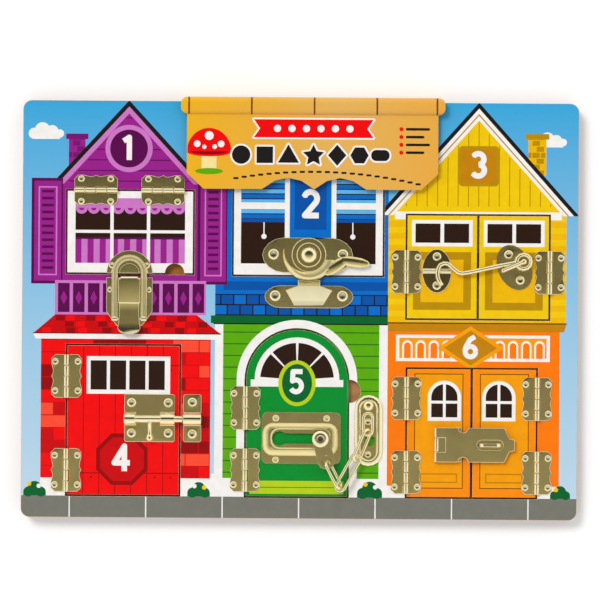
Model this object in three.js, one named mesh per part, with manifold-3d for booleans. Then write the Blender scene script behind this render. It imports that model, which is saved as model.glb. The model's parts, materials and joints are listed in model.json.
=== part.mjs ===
// A wooden latch board: eight hinged doors and windows in a flat board, closed by six brass latches.
// Millimetres. The board lies on its back: +Z is its front, +Y its top edge, +X its right edge.
// The origin is the centre of the back face.
import * as THREE from 'three';
import { mergeVertices } from 'three/addons/utils/BufferGeometryUtils.js';
import Module from 'manifold-3d';

const wasm = await Module();
wasm.setup();

// Driving dimensions of the wooden board
const board = {
  width: 400,
  height: 300,
  cornerRadius: 6.5,
  backThickness: 7,
  frontThickness: 6,
  doorGap: 1.2,
  seamGap: 1.7,
  doorFloorGap: 0.3,
};

// Cut-outs in the front layer: their sizes, and where they lie from the board's edges or middle
const openingSizes = {
  window_1: { width: 92.7, height: 61.2, fromLeft: 31.2, fromTop: 63.9 },
  window_2: { width: 109.6, height: 90.9, fromMiddle: -49.1, fromTop: 35 },
  door_3: { width: 104.2, height: 76.4, fromRight: 20, fromTop: 80 },
  door_4: { width: 82.9, height: 109.6, fromLeft: 31.9, fromBottom: 15.3 },
  door_5: { width: 75.3, height: 122.2, fromMiddle: -39.4, fromBottom: 14.9 },
  door_6: { width: 95.1, height: 94.4, fromRight: 28.5, fromBottom: 15.1 },
};

// Finger notches, in from the right of the first window's cut-out and up the fifth door's
const fingerNotch = {
  windowFromRight: 14.2,
  windowRadius: 6.9,
  doorRise: 77,
  doorRadius: 8.3,
};

// Brass sheet, wire and running clearances
const brass = {
  sheet: 0.9,
  seat: 0.3,
  running: 0.2,
  overrun: 1,
};

const rivet = {
  radius: 2.5,
  wideRadius: 3.3,
  widestRadius: 4,
  smallRadius: 2.1,
  height: 1.1,
  dimpleDepth: 0.5,
  crownShare: 0.62,
};

// Butt hinge: two leaves with four knuckles between them on one pin
const hinge = {
  length: 31.2,
  leafWidth: 10.95,
  cornerCut: 2.8,
  scallop: 1.2,
  scallopReach: 2.4,
  knuckles: 4,
  knuckleRadius: 1.9,
  knuckleGap: 0.3,
  pinRadius: 0.9,
  faceClearance: 0.05,
  rivetAlong: 10.55,
  rivetAcross: 8.15,
};

// Centres of the hinges along each hinge line, from the left or the bottom of the cut-out
const hingeCentres = {
  window_1: [21.6, 69.8],
  window_2: [54.8],
  door_3_left: [34.6],
  door_3_right: [34.6],
  door_4: [86.3, 18.8],
  door_5: [64.6, 20],
  door_6_left: [72.1, 19],
  door_6_right: [72.1, 19],
};

// The latches below lie from the bottom left corner of their door's cut-out
// Draw latch on the first window
const draw = {
  x: 46.1,
  catchRadius: 16.6,
  catchBottom: 0.8,
  catchRivetX: 12.7,
  catchRivetY: 6.6,
  padRadius: 13.6,
  padRise: 0.8,
  hookRadius: 7.3,
  hookTop: 4.1,
  hookLip: 1.1,
  hookNeck: 5.6,
  baseHalfWidth: 16.6,
  baseTop: -2.1,
  baseShoulder: -26.4,
  baseBottom: -36.9,
  baseBottomHalf: 9,
  baseRivetX: 14,
  baseRivetY: -10.9,
  pivotY: -3.3,
  pivotHeight: 3.4,
  pivotRadius: 1.1,
  curlRadius: 2.2,
  earInner: 6.5,
  earOuter: 7.5,
  leverHalf: 7.9,
  leverStepY: -20,
  tongueHalf: 7.2,
  tongueWaist: 6.6,
  tongueFlare: 8.2,
  tongueFlareY: -38.4,
  tongueEnd: -43,
  tongueHeight: 3.3,
  tongueLift: 2.4,
  bailPivotY: -31.9,
  bailPivotHeight: 2.9,
  bailPinRadius: 0.8,
  bailLugRadius: 1.8,
  bailInner: 8.3,
  bailOuter: 12.6,
  bailTop: 14.3,
  bailBase: 2,
  bailRim: 1.1,
  bailRise: 2.2,
};

// Sash latch on the second window
const sash = {
  baseX: 54.4,
  baseY: 15.5,
  baseLength: 65.4,
  baseWidth: 25.2,
  baseEnd: 15,
  rivetLeft: 29.9,
  rivetRight: 79.7,
  rivetY: 16.1,
  studX: 55.3,
  studY: 15.7,
  studRadius: 5.6,
  studTop: 8.9,
  studHeadRise: 2.5,
  postRadius: 3.4,
  armBase: 2.4,
  armThickness: 2.6,
  discRadius: 12.2,
  ringRadius: 8.6,
  ringRise: 1,
  cutRadius: 15.6,
  cutShiftX: -2.2,
  cutShiftY: 3.6,
  crescentRadius: 18.6,
  crescentRoll: 6.4,
  discDrop: 0.7,
  cutFlare: 0.8,
  armEnd: -3.4,
  neckX: 74.6,
  neckY: 7.6,
  neckLength: 21,
  neckWidth: 8.4,
  neckTilt: 34,
  handleX: 87.8,
  handleY: 10.9,
  handleLength: 23.7,
  handleWidth: 7.6,
  handleTilt: -8,
};

const keeper = {
  x: 55.5,
  y: -14.4,
  length: 64,
  width: 16.2,
  end: 11,
  rivetLeft: 31.2,
  rivetRight: 79.6,
  rivetY: -13.7,
  tongueBottom: -20.4,
  tongueBottomHalf: 10.3,
  tongueShoulderY: -9.9,
  tongueShoulderHalf: 16.3,
  tongueNeckY: -6.7,
  tongueNeckHalf: 8,
  tongueHeight: 5,
  tongueFoot: 0.9,
  tongueKneeY: -17,
  tongueKneeHeight: 2.3,
};

// Hook and eye on the third door
const eye = {
  leftX: 22.5,
  leftY: 35.3,
  leftHalfWidth: 10.65,
  leftHalfHeight: 15.85,
  leftRivets: 10.4,
  barHalf: 9.85,
  barRadius: 1.6,
  barTop: 2.4,
  rightX: 78.2,
  rightY: 38.3,
  rightHalfWidth: 12,
  rightHalfHeight: 16.9,
  rightTilt: 24.8,
  rightRivets: 10.1,
  postX: 84.7,
  postY: 42.4,
  postRadius: 2.1,
  seatRadius: 3.6,
  strapEndX: 70,
  strapEndY: 36,
  strapRadius: 1.6,
  strapBase: 5.7,
};

const hook = {
  wireRadius: 1.3,
  ringRadius: 5.1,
  height: 4,
  // The wire's centre line from the ring to the tip, across and along the board
  path: {
    ring: [79.8, 41.6],
    shaftUpper: [70.2, 39.9],
    shaftMiddle: [57.2, 37.1],
    shaftLower: [45.2, 34.5],
    bend: [38.8, 33.9],
    rise: [34.6, 36.8],
    hump: [29.4, 40.9],
    fall: [24.6, 39.6],
    crossing: [22.8, 34.8],
    below: [23.4, 29.6],
    tip: [25.9, 25.2],
  },
};

// Slide bolt on the fourth door
const bolt = {
  caseLeft: 42.3,
  caseRight: 78.7,
  plateTop: 73.7,
  plateBottom: 39.3,
  plateCorner: 1.5,
  y: 56,
  height: 4.5,
  bandRadius: 4.5,
  rodRadius: 2.7,
  bore: 2.95,
  leftBandEnd: 50.4,
  rightBandStart: 68.4,
  rivetLeft: 47.5,
  rivetRight: 73.9,
  rivetUpper: 67.5,
  rivetLower: 45.7,
  throw: 6,
  knobThrownX: 66.7,
  knobEnd: 39.9,
  knobRadius: 2.6,
  stemRadius: 1.3,
  neckRise: 5.2,
  ballLower: 4.2,
  ballMiddle: 2.3,
  ballUpper: 0.5,
  ballEndRadius: 2.1,
  rodTail: 16.6,
  keeperLeft: 84.7,
  keeperRight: 97.7,
  keeperRivetX: 91.2,
  keeperRivetUpper: 68,
  keeperRivetLower: 45.2,
};

// Slotted track, slider and chain on the fifth door
const track = {
  left: 12.4,
  right: 69.3,
  top: 61.7,
  bottom: 24.6,
  corner: 4.2,
  rimCorner: 7.4,
  rimRoll: 4.2,
  floorCorner: 5,
  slotRoll: 1.4,
  rimLeft: 13.1,
  rimRight: 67.4,
  rimTop: 54,
  rimBottom: 30.5,
  rimHeight: 3.2,
  floorLeft: 20.1,
  floorRight: 61.1,
  floorTop: 49.4,
  floorBottom: 36.4,
  floorHeight: 2.1,
  roomHeight: 1.3,
  keyX: 25.3,
  slotY: 42.9,
  keyRadius: 5.35,
  slotHalf: 3.7,
  slotEnd: 60,
  rivetLeft: 22.6,
  rivetRight: 59.2,
  rivetUpper: 57.4,
  rivetLower: 27.5,
};

const slider = {
  x: 54.7,
  footRadius: 4.6,
  footHeight: 0.8,
  stemRadius: 3.2,
  headRadius: 5.9,
  headRise: 1.9,
  dimpleRadius: 2.4,
  dimpleRim: 3.4,
  dimpleDepth: 0.8,
  strapThickness: 1.2,
  strapEndX: 59,
  strapEndY: 27.5,
  strapEndRadius: 6.2,
  strapHole: 3.8,
};

const chain = {
  height: 6.4,
  wireRadius: 0.95,
  halfWidth: 3.25,
  // Each link's lean about its length, and its reach past the pivots at its two ends
  leans: [-58, -4, 42, -4],
  startReach: [-1.2, 2.6, 2.2, 2.1],
  endReach: [0.5, 2.2, 2, 1.2],
  sides: 7,
  turnSteps: 6,
  // Pivots between the links, from the slider's strap to the anchor
  pivots: {
    strap: [59, 27.5],
    first: [68.8, 8.1],
    second: [80.8, 29.5],
    third: [88.6, 47.9],
    last: [89, 60.5],
  },
};

const anchor = {
  left: 79,
  right: 99.5,
  top: 74.9,
  bottom: 23.1,
  rimHeight: 2.4,
  rimRoll: 3,
  floorRoll: 1.6,
  floorInset: 4.8,
  tabX: 89,
  tabY: 67,
  tabRadius: 3.8,
  tabShoulder: 5.8,
  tabHeight: 8,
  holeX: 90.2,
  holeY: 41.7,
  holeRadius: 4,
  rivetX: 88.9,
  rivetUpper: 55.3,
  rivetLower: 31.8,
};

// Hasp and staple on the sixth door
const hasp = {
  hingeX: 22.5,
  y: 38.9,
  halfWidth: 12.4,
  strapRight: 78.6,
  strapHeight: 2.85,
  strapThickness: 1,
  windowFar: 6.3,
  windowHalf: 5,
  notchX: 41.5,
  notchRadius: 3.6,
  slotLeft: 51.5,
  slotRight: 70.2,
  slotHalf: 3.55,
  chamferX: 71.1,
  chamferMidX: 74.7,
  chamferMidHalf: 4.9,
  endHalf: 3.8,
  leafRight: 40.6,
  leafRivetX: 34.1,
  leafRivetY: 8,
  stapleLeft: 54,
  stapleRight: 67.7,
  stapleWire: 1.25,
  stapleTop: 7,
  stapleBend: 3,
  platePad: 4.2,
  plateHalf: 11.4,
  plateRivetY: 8,
};

// Folded card, from the middle of the board's top edge
const card = {
  left: -82,
  right: 98.5,
  bottom: -63.1,
  archPull: 16.4,
  archFirst: -27.9,
  archMiddle: 9.6,
  archLast: 47,
  cornerCutX: 12.1,
  cornerCutY: 11.3,
  sheet: 0.6,
  rollLeft: -86.2,
  rollRight: 103.4,
  rollBottom: -9.5,
  rollTop: 3,
  rollRise: 2.6,
  lobeRadius: 5,
  hangDown: 9,
};

// How finely round forms are faceted
const facets = {
  rivet: 6,
  knuckle: 7,
  rod: 10,
  disc: 24,
  curve: 4,
  arch: 6,
  corner: 4,
  edge: 1,
  crescent: 26,
  hookSides: 6,
  hookSteps: 24,
};

function openingEdges({ width, height, fromLeft, fromRight, fromMiddle, fromTop, fromBottom }) {
  const [halfWidth, halfHeight] = [board.width / 2, board.height / 2];
  let left = fromMiddle;
  if (fromLeft !== undefined) left = fromLeft - halfWidth;
  if (fromRight !== undefined) left = halfWidth - fromRight - width;
  const bottom = fromTop === undefined ? fromBottom - halfHeight : halfHeight - fromTop - height;
  return { left, right: left + width, bottom, top: bottom + height };
}

const openings = Object.fromEntries(
  Object.entries(openingSizes).map(([name, size]) => [name, openingEdges(size)]),
);

const face = board.backThickness + board.frontThickness;
const axisHeight = hinge.knuckleRadius + hinge.faceClearance;
const halfTurn = Math.PI;
const quarterTurn = Math.PI / 2;

// Finishes
function material(colour, roughness, metalness) {
  return new THREE.MeshStandardMaterial({ color: colour, roughness, metalness });
}

const finishes = {
  brass: material(0xc9b26a, 0.32, 1),
  wood: material(0xc79a62, 0.7, 0),
  sky: material(0x7fc0e2, 0.55, 0),
  card: material(0xf0b028, 0.75, 0),
};

// Profile of a rolled edge: shares of its width drawn in, at shares of its height
const rollShares = [
  [0, 0],
  [0, 0.3],
  [0.2, 0.64],
  [0.55, 0.86],
  [1, 1],
];

// Profile of a domed head: shares of its radius, at shares of its rise
const domeShares = [
  [1, 0],
  [0.94, 0.42],
  [0.72, 0.76],
  [0.4, 0.94],
  [0, 1],
];

// Profile of the crescent's crown, from its outer edge: shares of its width and of its thickness
const crownShares = [
  [0, 0],
  [0, 0.3],
  [0.2, 0.84],
  [0.5, 1],
  [1, 0.5],
];

const doorColours = {
  window_1: 0x92268f,
  window_2: 0x0a6fc4,
  door_3: 0xe2b60a,
  door_4: 0xdc0a0a,
  door_5: 0x0a8c30,
  door_6: 0xf59a00,
};

// Closed meshes and solids
function dropFlatFaces(index) {
  const kept = [];
  for (let i = 0; i < index.length; i += 3) {
    const [a, b, c] = [index[i], index[i + 1], index[i + 2]];
    if (a !== b && b !== c && c !== a) kept.push(a, b, c);
  }
  return new Uint32Array(kept);
}

function toSolid(geometry) {
  const bare = geometry.clone();
  bare.deleteAttribute('normal');
  bare.deleteAttribute('uv');
  const merged = mergeVertices(bare);
  return new wasm.Manifold(new wasm.Mesh({
    numProp: 3,
    vertProperties: new Float32Array(merged.attributes.position.array),
    triVerts: dropFlatFaces(merged.index.array),
  }));
}

function toGeometry(solid) {
  const mesh = solid.getMesh();
  const geometry = new THREE.BufferGeometry();
  geometry.setAttribute('position', new THREE.BufferAttribute(mesh.vertProperties, 3));
  geometry.setIndex(new THREE.BufferAttribute(mesh.triVerts, 1));
  geometry.computeVertexNormals();
  return geometry;
}

function joined(...solids) {
  return solids.reduce((whole, next) => whole.add(next));
}

function cutBy(solid, ...cutters) {
  return cutters.reduce((whole, next) => whole.subtract(next), solid);
}

// A flat shape given thickness from low to high
function slab(shape, low, high, curveSegments = facets.curve) {
  const geometry = new THREE.ExtrudeGeometry(shape, {
    depth: high - low,
    bevelEnabled: false,
    curveSegments,
  });
  geometry.translate(0, 0, low);
  return toSolid(geometry);
}

function block(x0, x1, y0, y1, z0, z1) {
  const geometry = new THREE.BoxGeometry(x1 - x0, y1 - y0, z1 - z0);
  geometry.translate((x0 + x1) / 2, (y0 + y1) / 2, (z0 + z1) / 2);
  return toSolid(geometry);
}

// A round bar standing on Z, or lying along X or Y
function pillar(x, y, radius, low, high, sides = facets.rod) {
  const geometry = new THREE.CylinderGeometry(radius, radius, high - low, sides);
  geometry.rotateX(quarterTurn);
  geometry.translate(x, y, (low + high) / 2);
  return toSolid(geometry);
}

function barAlongX(y, z, radius, from, to, sides = facets.rod) {
  const geometry = new THREE.CylinderGeometry(radius, radius, to - from, sides);
  geometry.rotateZ(quarterTurn);
  geometry.translate((from + to) / 2, y, z);
  return toSolid(geometry);
}

function barAlongY(x, z, radius, from, to, sides = facets.rod) {
  const geometry = new THREE.CylinderGeometry(radius, radius, to - from, sides);
  geometry.translate(x, (from + to) / 2, z);
  return toSolid(geometry);
}

// A turned form about Z from its profile of [radius, height] points, the lowest first
function turned(profile, x, y, z, sides) {
  const points = profile.map(([radius, height]) => new THREE.Vector2(radius, height));
  const geometry = new THREE.LatheGeometry(points, sides);
  geometry.rotateX(quarterTurn);
  geometry.translate(x, y, z);
  return toSolid(geometry);
}

// A tubular rivet's rolled head, with its dimple
function rivetHead(x, y, radius, z = brass.sheet) {
  const profile = [
    [0, -brass.sheet / 2],
    [radius, -brass.sheet / 2],
    [rivet.crownShare * radius, rivet.height],
    [0, rivet.height - rivet.dimpleDepth],
  ];
  return turned(profile, x, y, z, facets.rivet);
}

function rivetHeads(radius, places) {
  return places.map(([x, y]) => rivetHead(x, y, radius));
}

// A domed form from the height where it starts to its top
function dome(x, y, radius, low, shoulder, top) {
  const crown = domeShares.map(([across, up]) => [across * radius, shoulder + up * (top - shoulder)]);
  return turned([[0, low], [radius, low], ...crown], x, y, 0, facets.disc / 2);
}

// A spoon-shaped form: a flattened ball, its length turned about Z
function spoon(x, y, length, width, low, high, tilt) {
  const ball = new THREE.SphereGeometry(length / 2, facets.disc / 2, facets.arch);
  ball.scale(1, width / length, (high - low) / length);
  ball.rotateZ(THREE.MathUtils.degToRad(tilt));
  ball.translate(x, y, (low + high) / 2);
  return toSolid(ball);
}

function boxOutline(left, right, bottom, top, radius = 0) {
  const shape = new THREE.Shape();
  if (radius === 0) {
    shape.moveTo(left, bottom);
    shape.lineTo(right, bottom);
    shape.lineTo(right, top);
    shape.lineTo(left, top);
    shape.closePath();
    return shape;
  }
  shape.moveTo(left + radius, bottom);
  shape.absarc(right - radius, bottom + radius, radius, -quarterTurn, 0);
  shape.absarc(right - radius, top - radius, radius, 0, quarterTurn);
  shape.absarc(left + radius, top - radius, radius, quarterTurn, halfTurn);
  shape.absarc(left + radius, bottom + radius, radius, halfTurn, halfTurn + quarterTurn);
  shape.closePath();
  return shape;
}

// A raised form on a rounded box, drawn in by each layer's inset at that layer's height
function layeredBox(left, right, bottom, top, radius, layers) {
  const corners = [[right, bottom, -1, 1], [right, top, -1, -1], [left, top, 1, -1], [left, bottom, 1, 1]];
  const positions = [];
  for (const [inset, height] of layers) {
    const turn = radius - inset;
    corners.forEach(([x, y, inX, inY], quarter) => {
      for (let i = 0; i <= facets.curve; i += 1) {
        const angle = quarterTurn * (quarter - 1 + i / facets.curve);
        const [across, along] = [turn * Math.cos(angle), turn * Math.sin(angle)];
        positions.push(x + inX * radius + across, y + inY * radius + along, height);
      }
    });
  }
  const around = corners.length * (facets.curve + 1);
  const last = (layers.length - 1) * around;
  const index = [];
  for (let i = 1; i + 1 < around; i += 1) {
    index.push(0, i + 1, i, last, last + i, last + i + 1);
  }
  for (let ring = 0; ring < last; ring += around) {
    for (let i = 0; i < around; i += 1) {
      const [a, b] = [ring + i, ring + ((i + 1) % around)];
      index.push(a, b, b + around, a, b + around, a + around);
    }
  }
  const geometry = new THREE.BufferGeometry();
  geometry.setAttribute('position', new THREE.Float32BufferAttribute(positions, 3));
  geometry.setIndex(index);
  return toSolid(geometry);
}

// Layers of a rolled edge: drawn in as it rises for a rim, or let out for the hollow inside one
function rollLayers(width, low, high, side = 1) {
  return rollShares.map(([across, up]) => [side * across * width, low + up * (high - low)]);
}

function archOutline(left, right, bottom, top) {
  const radius = (right - left) / 2;
  const shape = new THREE.Shape();
  shape.moveTo(left, bottom);
  shape.lineTo(right, bottom);
  shape.absarc(left + radius, top - radius, radius, 0, halfTurn);
  shape.closePath();
  return shape;
}

function discOutline(x, y, radius) {
  const shape = new THREE.Shape();
  shape.absarc(x, y, radius, 0, 2 * halfTurn);
  return shape;
}

function ellipseOutline(halfWidth, halfHeight) {
  const shape = new THREE.Shape();
  shape.absellipse(0, 0, halfWidth, halfHeight, 0, 2 * halfTurn);
  return shape;
}

function outlineOf(points) {
  return new THREE.Shape(points.map(([x, y]) => new THREE.Vector2(x, y)));
}

// An oblong plate with pointed-round ends, such as the sash latch's two plates
function lozengeOutline(x, y, length, width, endReach) {
  const half = length / 2;
  const rise = width / 2;
  const [left, right] = [x - half, x + half];
  const [leftStart, rightStart] = [left + endReach, right - endReach];
  const [leftPull, rightPull] = [left + endReach / 2, right - endReach / 2];
  const shape = new THREE.Shape();
  shape.moveTo(left, y);
  shape.bezierCurveTo(left, y + rise / 2, leftPull, y + rise, leftStart, y + rise);
  shape.lineTo(rightStart, y + rise);
  shape.bezierCurveTo(rightPull, y + rise, right, y + rise / 2, right, y);
  shape.bezierCurveTo(right, y - rise / 2, rightPull, y - rise, rightStart, y - rise);
  shape.lineTo(leftStart, y - rise);
  shape.bezierCurveTo(leftPull, y - rise, left, y - rise / 2, left, y);
  return shape;
}

// A closed tube of round wire along an oval, lying flat, its long axis on X from start to end
function ovalRing(start, end, halfWidth, wireRadius, turnSteps, sides) {
  const near = start + halfWidth;
  const far = end - halfWidth;
  const centres = [];
  for (let i = 0; i <= turnSteps; i += 1) {
    const angle = -quarterTurn + (halfTurn * i) / turnSteps;
    centres.push([far, angle]);
  }
  for (let i = 0; i <= turnSteps; i += 1) {
    const angle = quarterTurn + (halfTurn * i) / turnSteps;
    centres.push([near, angle]);
  }
  const positions = [];
  for (const [centre, angle] of centres) {
    for (let j = 0; j < sides; j += 1) {
      const around = (2 * halfTurn * j) / sides;
      const reach = halfWidth + wireRadius * Math.cos(around);
      const [x, y] = [centre + reach * Math.cos(angle), reach * Math.sin(angle)];
      positions.push(x, y, wireRadius * Math.sin(around));
    }
  }
  const index = [];
  const rings = centres.length;
  for (let i = 0; i < rings; i += 1) {
    const next = (i + 1) % rings;
    for (let j = 0; j < sides; j += 1) {
      const beside = (j + 1) % sides;
      const [a, b] = [i * sides + j, next * sides + j];
      const [c, d] = [next * sides + beside, i * sides + beside];
      index.push(a, b, c, a, c, d);
    }
  }
  const geometry = new THREE.BufferGeometry();
  geometry.setAttribute('position', new THREE.Float32BufferAttribute(positions, 3));
  geometry.setIndex(index);
  return geometry;
}

// The object, and the groups that its sub-parts are placed in
const latchBoard = new THREE.Group();
const hardware = new THREE.Group();
hardware.position.z = face;
latchBoard.add(hardware);

function cornerGroup(x, y) {
  const group = new THREE.Group();
  group.position.set(x, y, 0);
  hardware.add(group);
  return group;
}

// Each latch has its place from its door's cut-out, and the card from the top edge
const corners = Object.fromEntries(
  Object.entries(openings).map(([name, { left, bottom }]) => [name, cornerGroup(left, bottom)]),
);
corners.top = cornerGroup(0, board.height / 2);

function addPart(name, solid, finish, parent = hardware) {
  const mesh = new THREE.Mesh(toGeometry(solid), finish);
  mesh.name = name;
  parent.add(mesh);
  return mesh;
}

// Back layer, and front layer with its cut-outs
function boardOutline() {
  const [w, h] = [board.width / 2, board.height / 2];
  return new THREE.Shape(boxOutline(-w, w, -h, h, board.cornerRadius).getPoints(facets.corner));
}

function openingOutline(name, inset = 0) {
  const { left, right, bottom, top } = openings[name];
  const outline = name === 'door_5' ? archOutline : boxOutline;
  return outline(left + inset, right - inset, bottom + inset, top - inset);
}

function addBoard() {
  addPart('back_panel', slab(boardOutline(), 0, board.backThickness), finishes.wood, latchBoard);
  const [low, high] = [board.backThickness - brass.overrun, face + brass.overrun];
  const cutOuts = Object.keys(openings).map((name) =>
    slab(openingOutline(name), low, high, facets.disc / 2));
  const { right, bottom } = openings.door_5;
  const notch = pillar(right, bottom + fingerNotch.doorRise, fingerNotch.doorRadius, low, high, facets.disc);
  const layer = cutBy(slab(boardOutline(), board.backThickness, face), ...cutOuts, notch);
  addPart('front_panel', layer, finishes.sky, latchBoard);
}

// Doors and window flaps, each a gap smaller than its cut-out
const doorLow = board.backThickness + board.doorFloorGap;

function addDoor(name, outline, colour, cutter) {
  let solid = slab(outline, doorLow, face, facets.disc / 2);
  if (cutter) solid = cutBy(solid, cutter);
  addPart(name, solid, material(colour, 0.5, 0), latchBoard);
}

function addDoors() {
  const { right, bottom } = openings.window_1;
  const notch = pillar(right - fingerNotch.windowFromRight, bottom + board.doorGap, fingerNotch.windowRadius,
    doorLow - brass.overrun, face + brass.overrun, facets.disc);
  addDoor('window_1_flap', openingOutline('window_1', board.doorGap), doorColours.window_1, notch);
  addDoor('window_2_flap', openingOutline('window_2', board.doorGap), doorColours.window_2);
  addDoor('door_4', openingOutline('door_4', board.doorGap), doorColours.door_4);
  addDoor('door_5', openingOutline('door_5', board.doorGap), doorColours.door_5);
  for (const name of ['door_3', 'door_6']) {
    const { left, right, bottom, top } = openings[name];
    const seam = (left + right) / 2;
    const [low, high] = [bottom + board.doorGap, top - board.doorGap];
    const [leftEnd, rightStart] = [seam - board.seamGap / 2, seam + board.seamGap / 2];
    addDoor(`${name}_left`, boxOutline(left + board.doorGap, leftEnd, low, high), doorColours[name]);
    addDoor(`${name}_right`, boxOutline(rightStart, right - board.doorGap, low, high), doorColours[name]);
  }
}

// One hinge leaf: its knuckles round the Y axis, its plate towards +X
function leafOutline() {
  const half = hinge.length / 2;
  const wide = hinge.leafWidth;
  const waist = wide - hinge.scallop;
  const lobe = half - hinge.cornerCut;
  const dip = hinge.rivetAlong / 2;
  const shape = new THREE.Shape();
  shape.moveTo(0, -half);
  shape.lineTo(wide - hinge.cornerCut, -half);
  shape.lineTo(wide, -lobe);
  shape.lineTo(wide, -(dip + lobe) / 2);
  shape.quadraticCurveTo(waist, -dip - hinge.scallop, waist, -dip + hinge.scallop);
  shape.lineTo(waist, -hinge.scallopReach);
  shape.quadraticCurveTo(waist, -hinge.scallop, wide, 0);
  shape.quadraticCurveTo(waist, hinge.scallop, waist, hinge.scallopReach);
  shape.lineTo(waist, dip - hinge.scallop);
  shape.quadraticCurveTo(waist, dip + hinge.scallop, wide, (dip + lobe) / 2);
  shape.lineTo(wide, lobe);
  shape.lineTo(wide - hinge.cornerCut, half);
  shape.lineTo(0, half);
  shape.closePath();
  return shape;
}

function knuckleSpans(own) {
  const pitch = hinge.length / hinge.knuckles;
  const spans = [];
  for (let i = own ? 0 : 1; i < hinge.knuckles; i += 2) {
    const start = -hinge.length / 2 + i * pitch;
    const nearGap = i === 0 ? 0 : hinge.knuckleGap / 2;
    const farGap = i === hinge.knuckles - 1 ? 0 : hinge.knuckleGap / 2;
    spans.push([start + nearGap, start + pitch - farGap]);
  }
  return spans;
}

function hingeLeaf(fixed) {
  const own = knuckleSpans(true);
  const other = knuckleSpans(false);
  const reach = hinge.knuckleRadius + brass.running;
  const plate = slab(leafOutline(), 0, brass.sheet, facets.edge);
  const notches = other.map(([from, to]) => {
    const ends = hinge.knuckleGap;
    return block(-reach, reach, from - ends, to + ends, -brass.overrun, brass.sheet + brass.overrun);
  });
  const barrels = own.map(([from, to]) =>
    barAlongY(0, axisHeight, hinge.knuckleRadius, from, to, facets.knuckle));
  const half = hinge.length / 2;
  const core = fixed
    ? [barAlongY(0, axisHeight, hinge.pinRadius, -half, half, facets.knuckle)]
    : [];
  const heads = rivetHeads(rivet.radius, [
    [hinge.rivetAcross, -hinge.rivetAlong],
    [hinge.rivetAcross, hinge.rivetAlong],
  ]);
  const leaf = joined(cutBy(plate, ...notches), ...barrels, ...core, ...heads);
  if (fixed) return leaf;
  const bore = barAlongY(0, axisHeight, hinge.pinRadius + brass.running,
    -half - brass.overrun, half + brass.overrun, facets.knuckle);
  return cutBy(leaf, bore);
}

// Hinge lines lie in the middle of the gap beside each door
function hingeLine(name) {
  const inset = board.doorGap / 2;
  const [opening, side] = name.startsWith('door_3') || name.startsWith('door_6')
    ? [openings[name.slice(0, 6)], name.slice(7)]
    : [openings[name], name.startsWith('window') ? 'top' : 'left'];
  const { left, right, bottom, top } = opening;
  if (side === 'top') return { place: (along) => [left + along, top - inset], turn: -quarterTurn };
  if (side === 'right') return { place: (along) => [right - inset, bottom + along], turn: halfTurn };
  return { place: (along) => [left + inset, bottom + along], turn: 0 };
}

function addHinges() {
  const fixedLeaf = hingeLeaf(true);
  const movingLeaf = hingeLeaf(false);
  for (const [name, centres] of Object.entries(hingeCentres)) {
    const line = hingeLine(name);
    centres.forEach((centre, i) => {
      const label = centres.length > 1 ? `${name}_hinge_${i + 1}` : `${name}_hinge`;
      const [x, y] = line.place(centre);
      const moving = addPart(`${label}_door_leaf`, movingLeaf, finishes.brass);
      moving.position.set(x, y, 0);
      moving.rotation.z = line.turn;
      const fixed = addPart(`${label}_frame_leaf`, fixedLeaf, finishes.brass);
      fixed.position.set(x, y, 0);
      fixed.rotation.z = line.turn + halfTurn;
    });
  }
}

// Draw latch: catch on the flap, base and lever on the board, bail between them
function halfDisc(x, y, radius) {
  const shape = new THREE.Shape();
  shape.moveTo(x - radius, y);
  shape.lineTo(x + radius, y);
  shape.absarc(x, y, radius, 0, halfTurn);
  shape.closePath();
  return shape;
}

function addDrawCatch() {
  const { x, catchBottom: y } = draw;
  const top = draw.hookTop;
  const catchPlate = joined(
    slab(halfDisc(x, y, draw.catchRadius), 0, brass.sheet, facets.disc / 2),
    slab(halfDisc(x, y, draw.padRadius - draw.padRise), 0, brass.sheet + draw.padRise, facets.disc / 2),
    slab(halfDisc(x, y, draw.hookNeck), 0, top, facets.disc / 2),
    slab(halfDisc(x, y, draw.hookRadius), top - draw.hookLip, top, facets.disc / 2),
    ...rivetHeads(rivet.smallRadius, [
      [x - draw.catchRivetX, draw.catchRivetY],
      [x + draw.catchRivetX, draw.catchRivetY],
    ]),
  );
  addPart('draw_catch_plate', catchPlate, finishes.brass, corners.window_1);
}

function drawBaseOutline() {
  const { x, baseHalfWidth: wide, baseBottomHalf: narrow } = draw;
  const shape = new THREE.Shape();
  shape.moveTo(x - wide, draw.baseTop);
  shape.lineTo(x - wide, draw.baseShoulder);
  shape.quadraticCurveTo(x - wide, draw.baseShoulder - brass.sheet, x - narrow, draw.baseBottom);
  shape.lineTo(x + narrow, draw.baseBottom);
  shape.quadraticCurveTo(x + wide, draw.baseShoulder - brass.sheet, x + wide, draw.baseShoulder);
  shape.lineTo(x + wide, draw.baseTop);
  shape.closePath();
  return shape;
}

function addDrawBase() {
  const { x, pivotY, pivotHeight } = draw;
  const ears = [-1, 1].map((side) => {
    const [near, far] = [x + side * draw.earInner, x + side * draw.earOuter];
    const reach = draw.curlRadius;
    const [left, right] = [Math.min(near, far), Math.max(near, far)];
    return joined(
      block(left, right, pivotY - reach, pivotY, 0, pivotHeight),
      barAlongX(pivotY, pivotHeight, draw.pivotRadius + brass.running, left, right),
    );
  });
  const base = joined(
    slab(drawBaseOutline(), 0, brass.sheet),
    ...ears,
    barAlongX(pivotY, pivotHeight, draw.pivotRadius, x - draw.earOuter, x + draw.earOuter),
    ...rivetHeads(rivet.smallRadius, [
      [x - draw.baseRivetX, draw.baseRivetY],
      [x + draw.baseRivetX, draw.baseRivetY],
    ]),
  );
  addPart('draw_latch_base', base, finishes.brass, corners.window_1);
}

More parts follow.
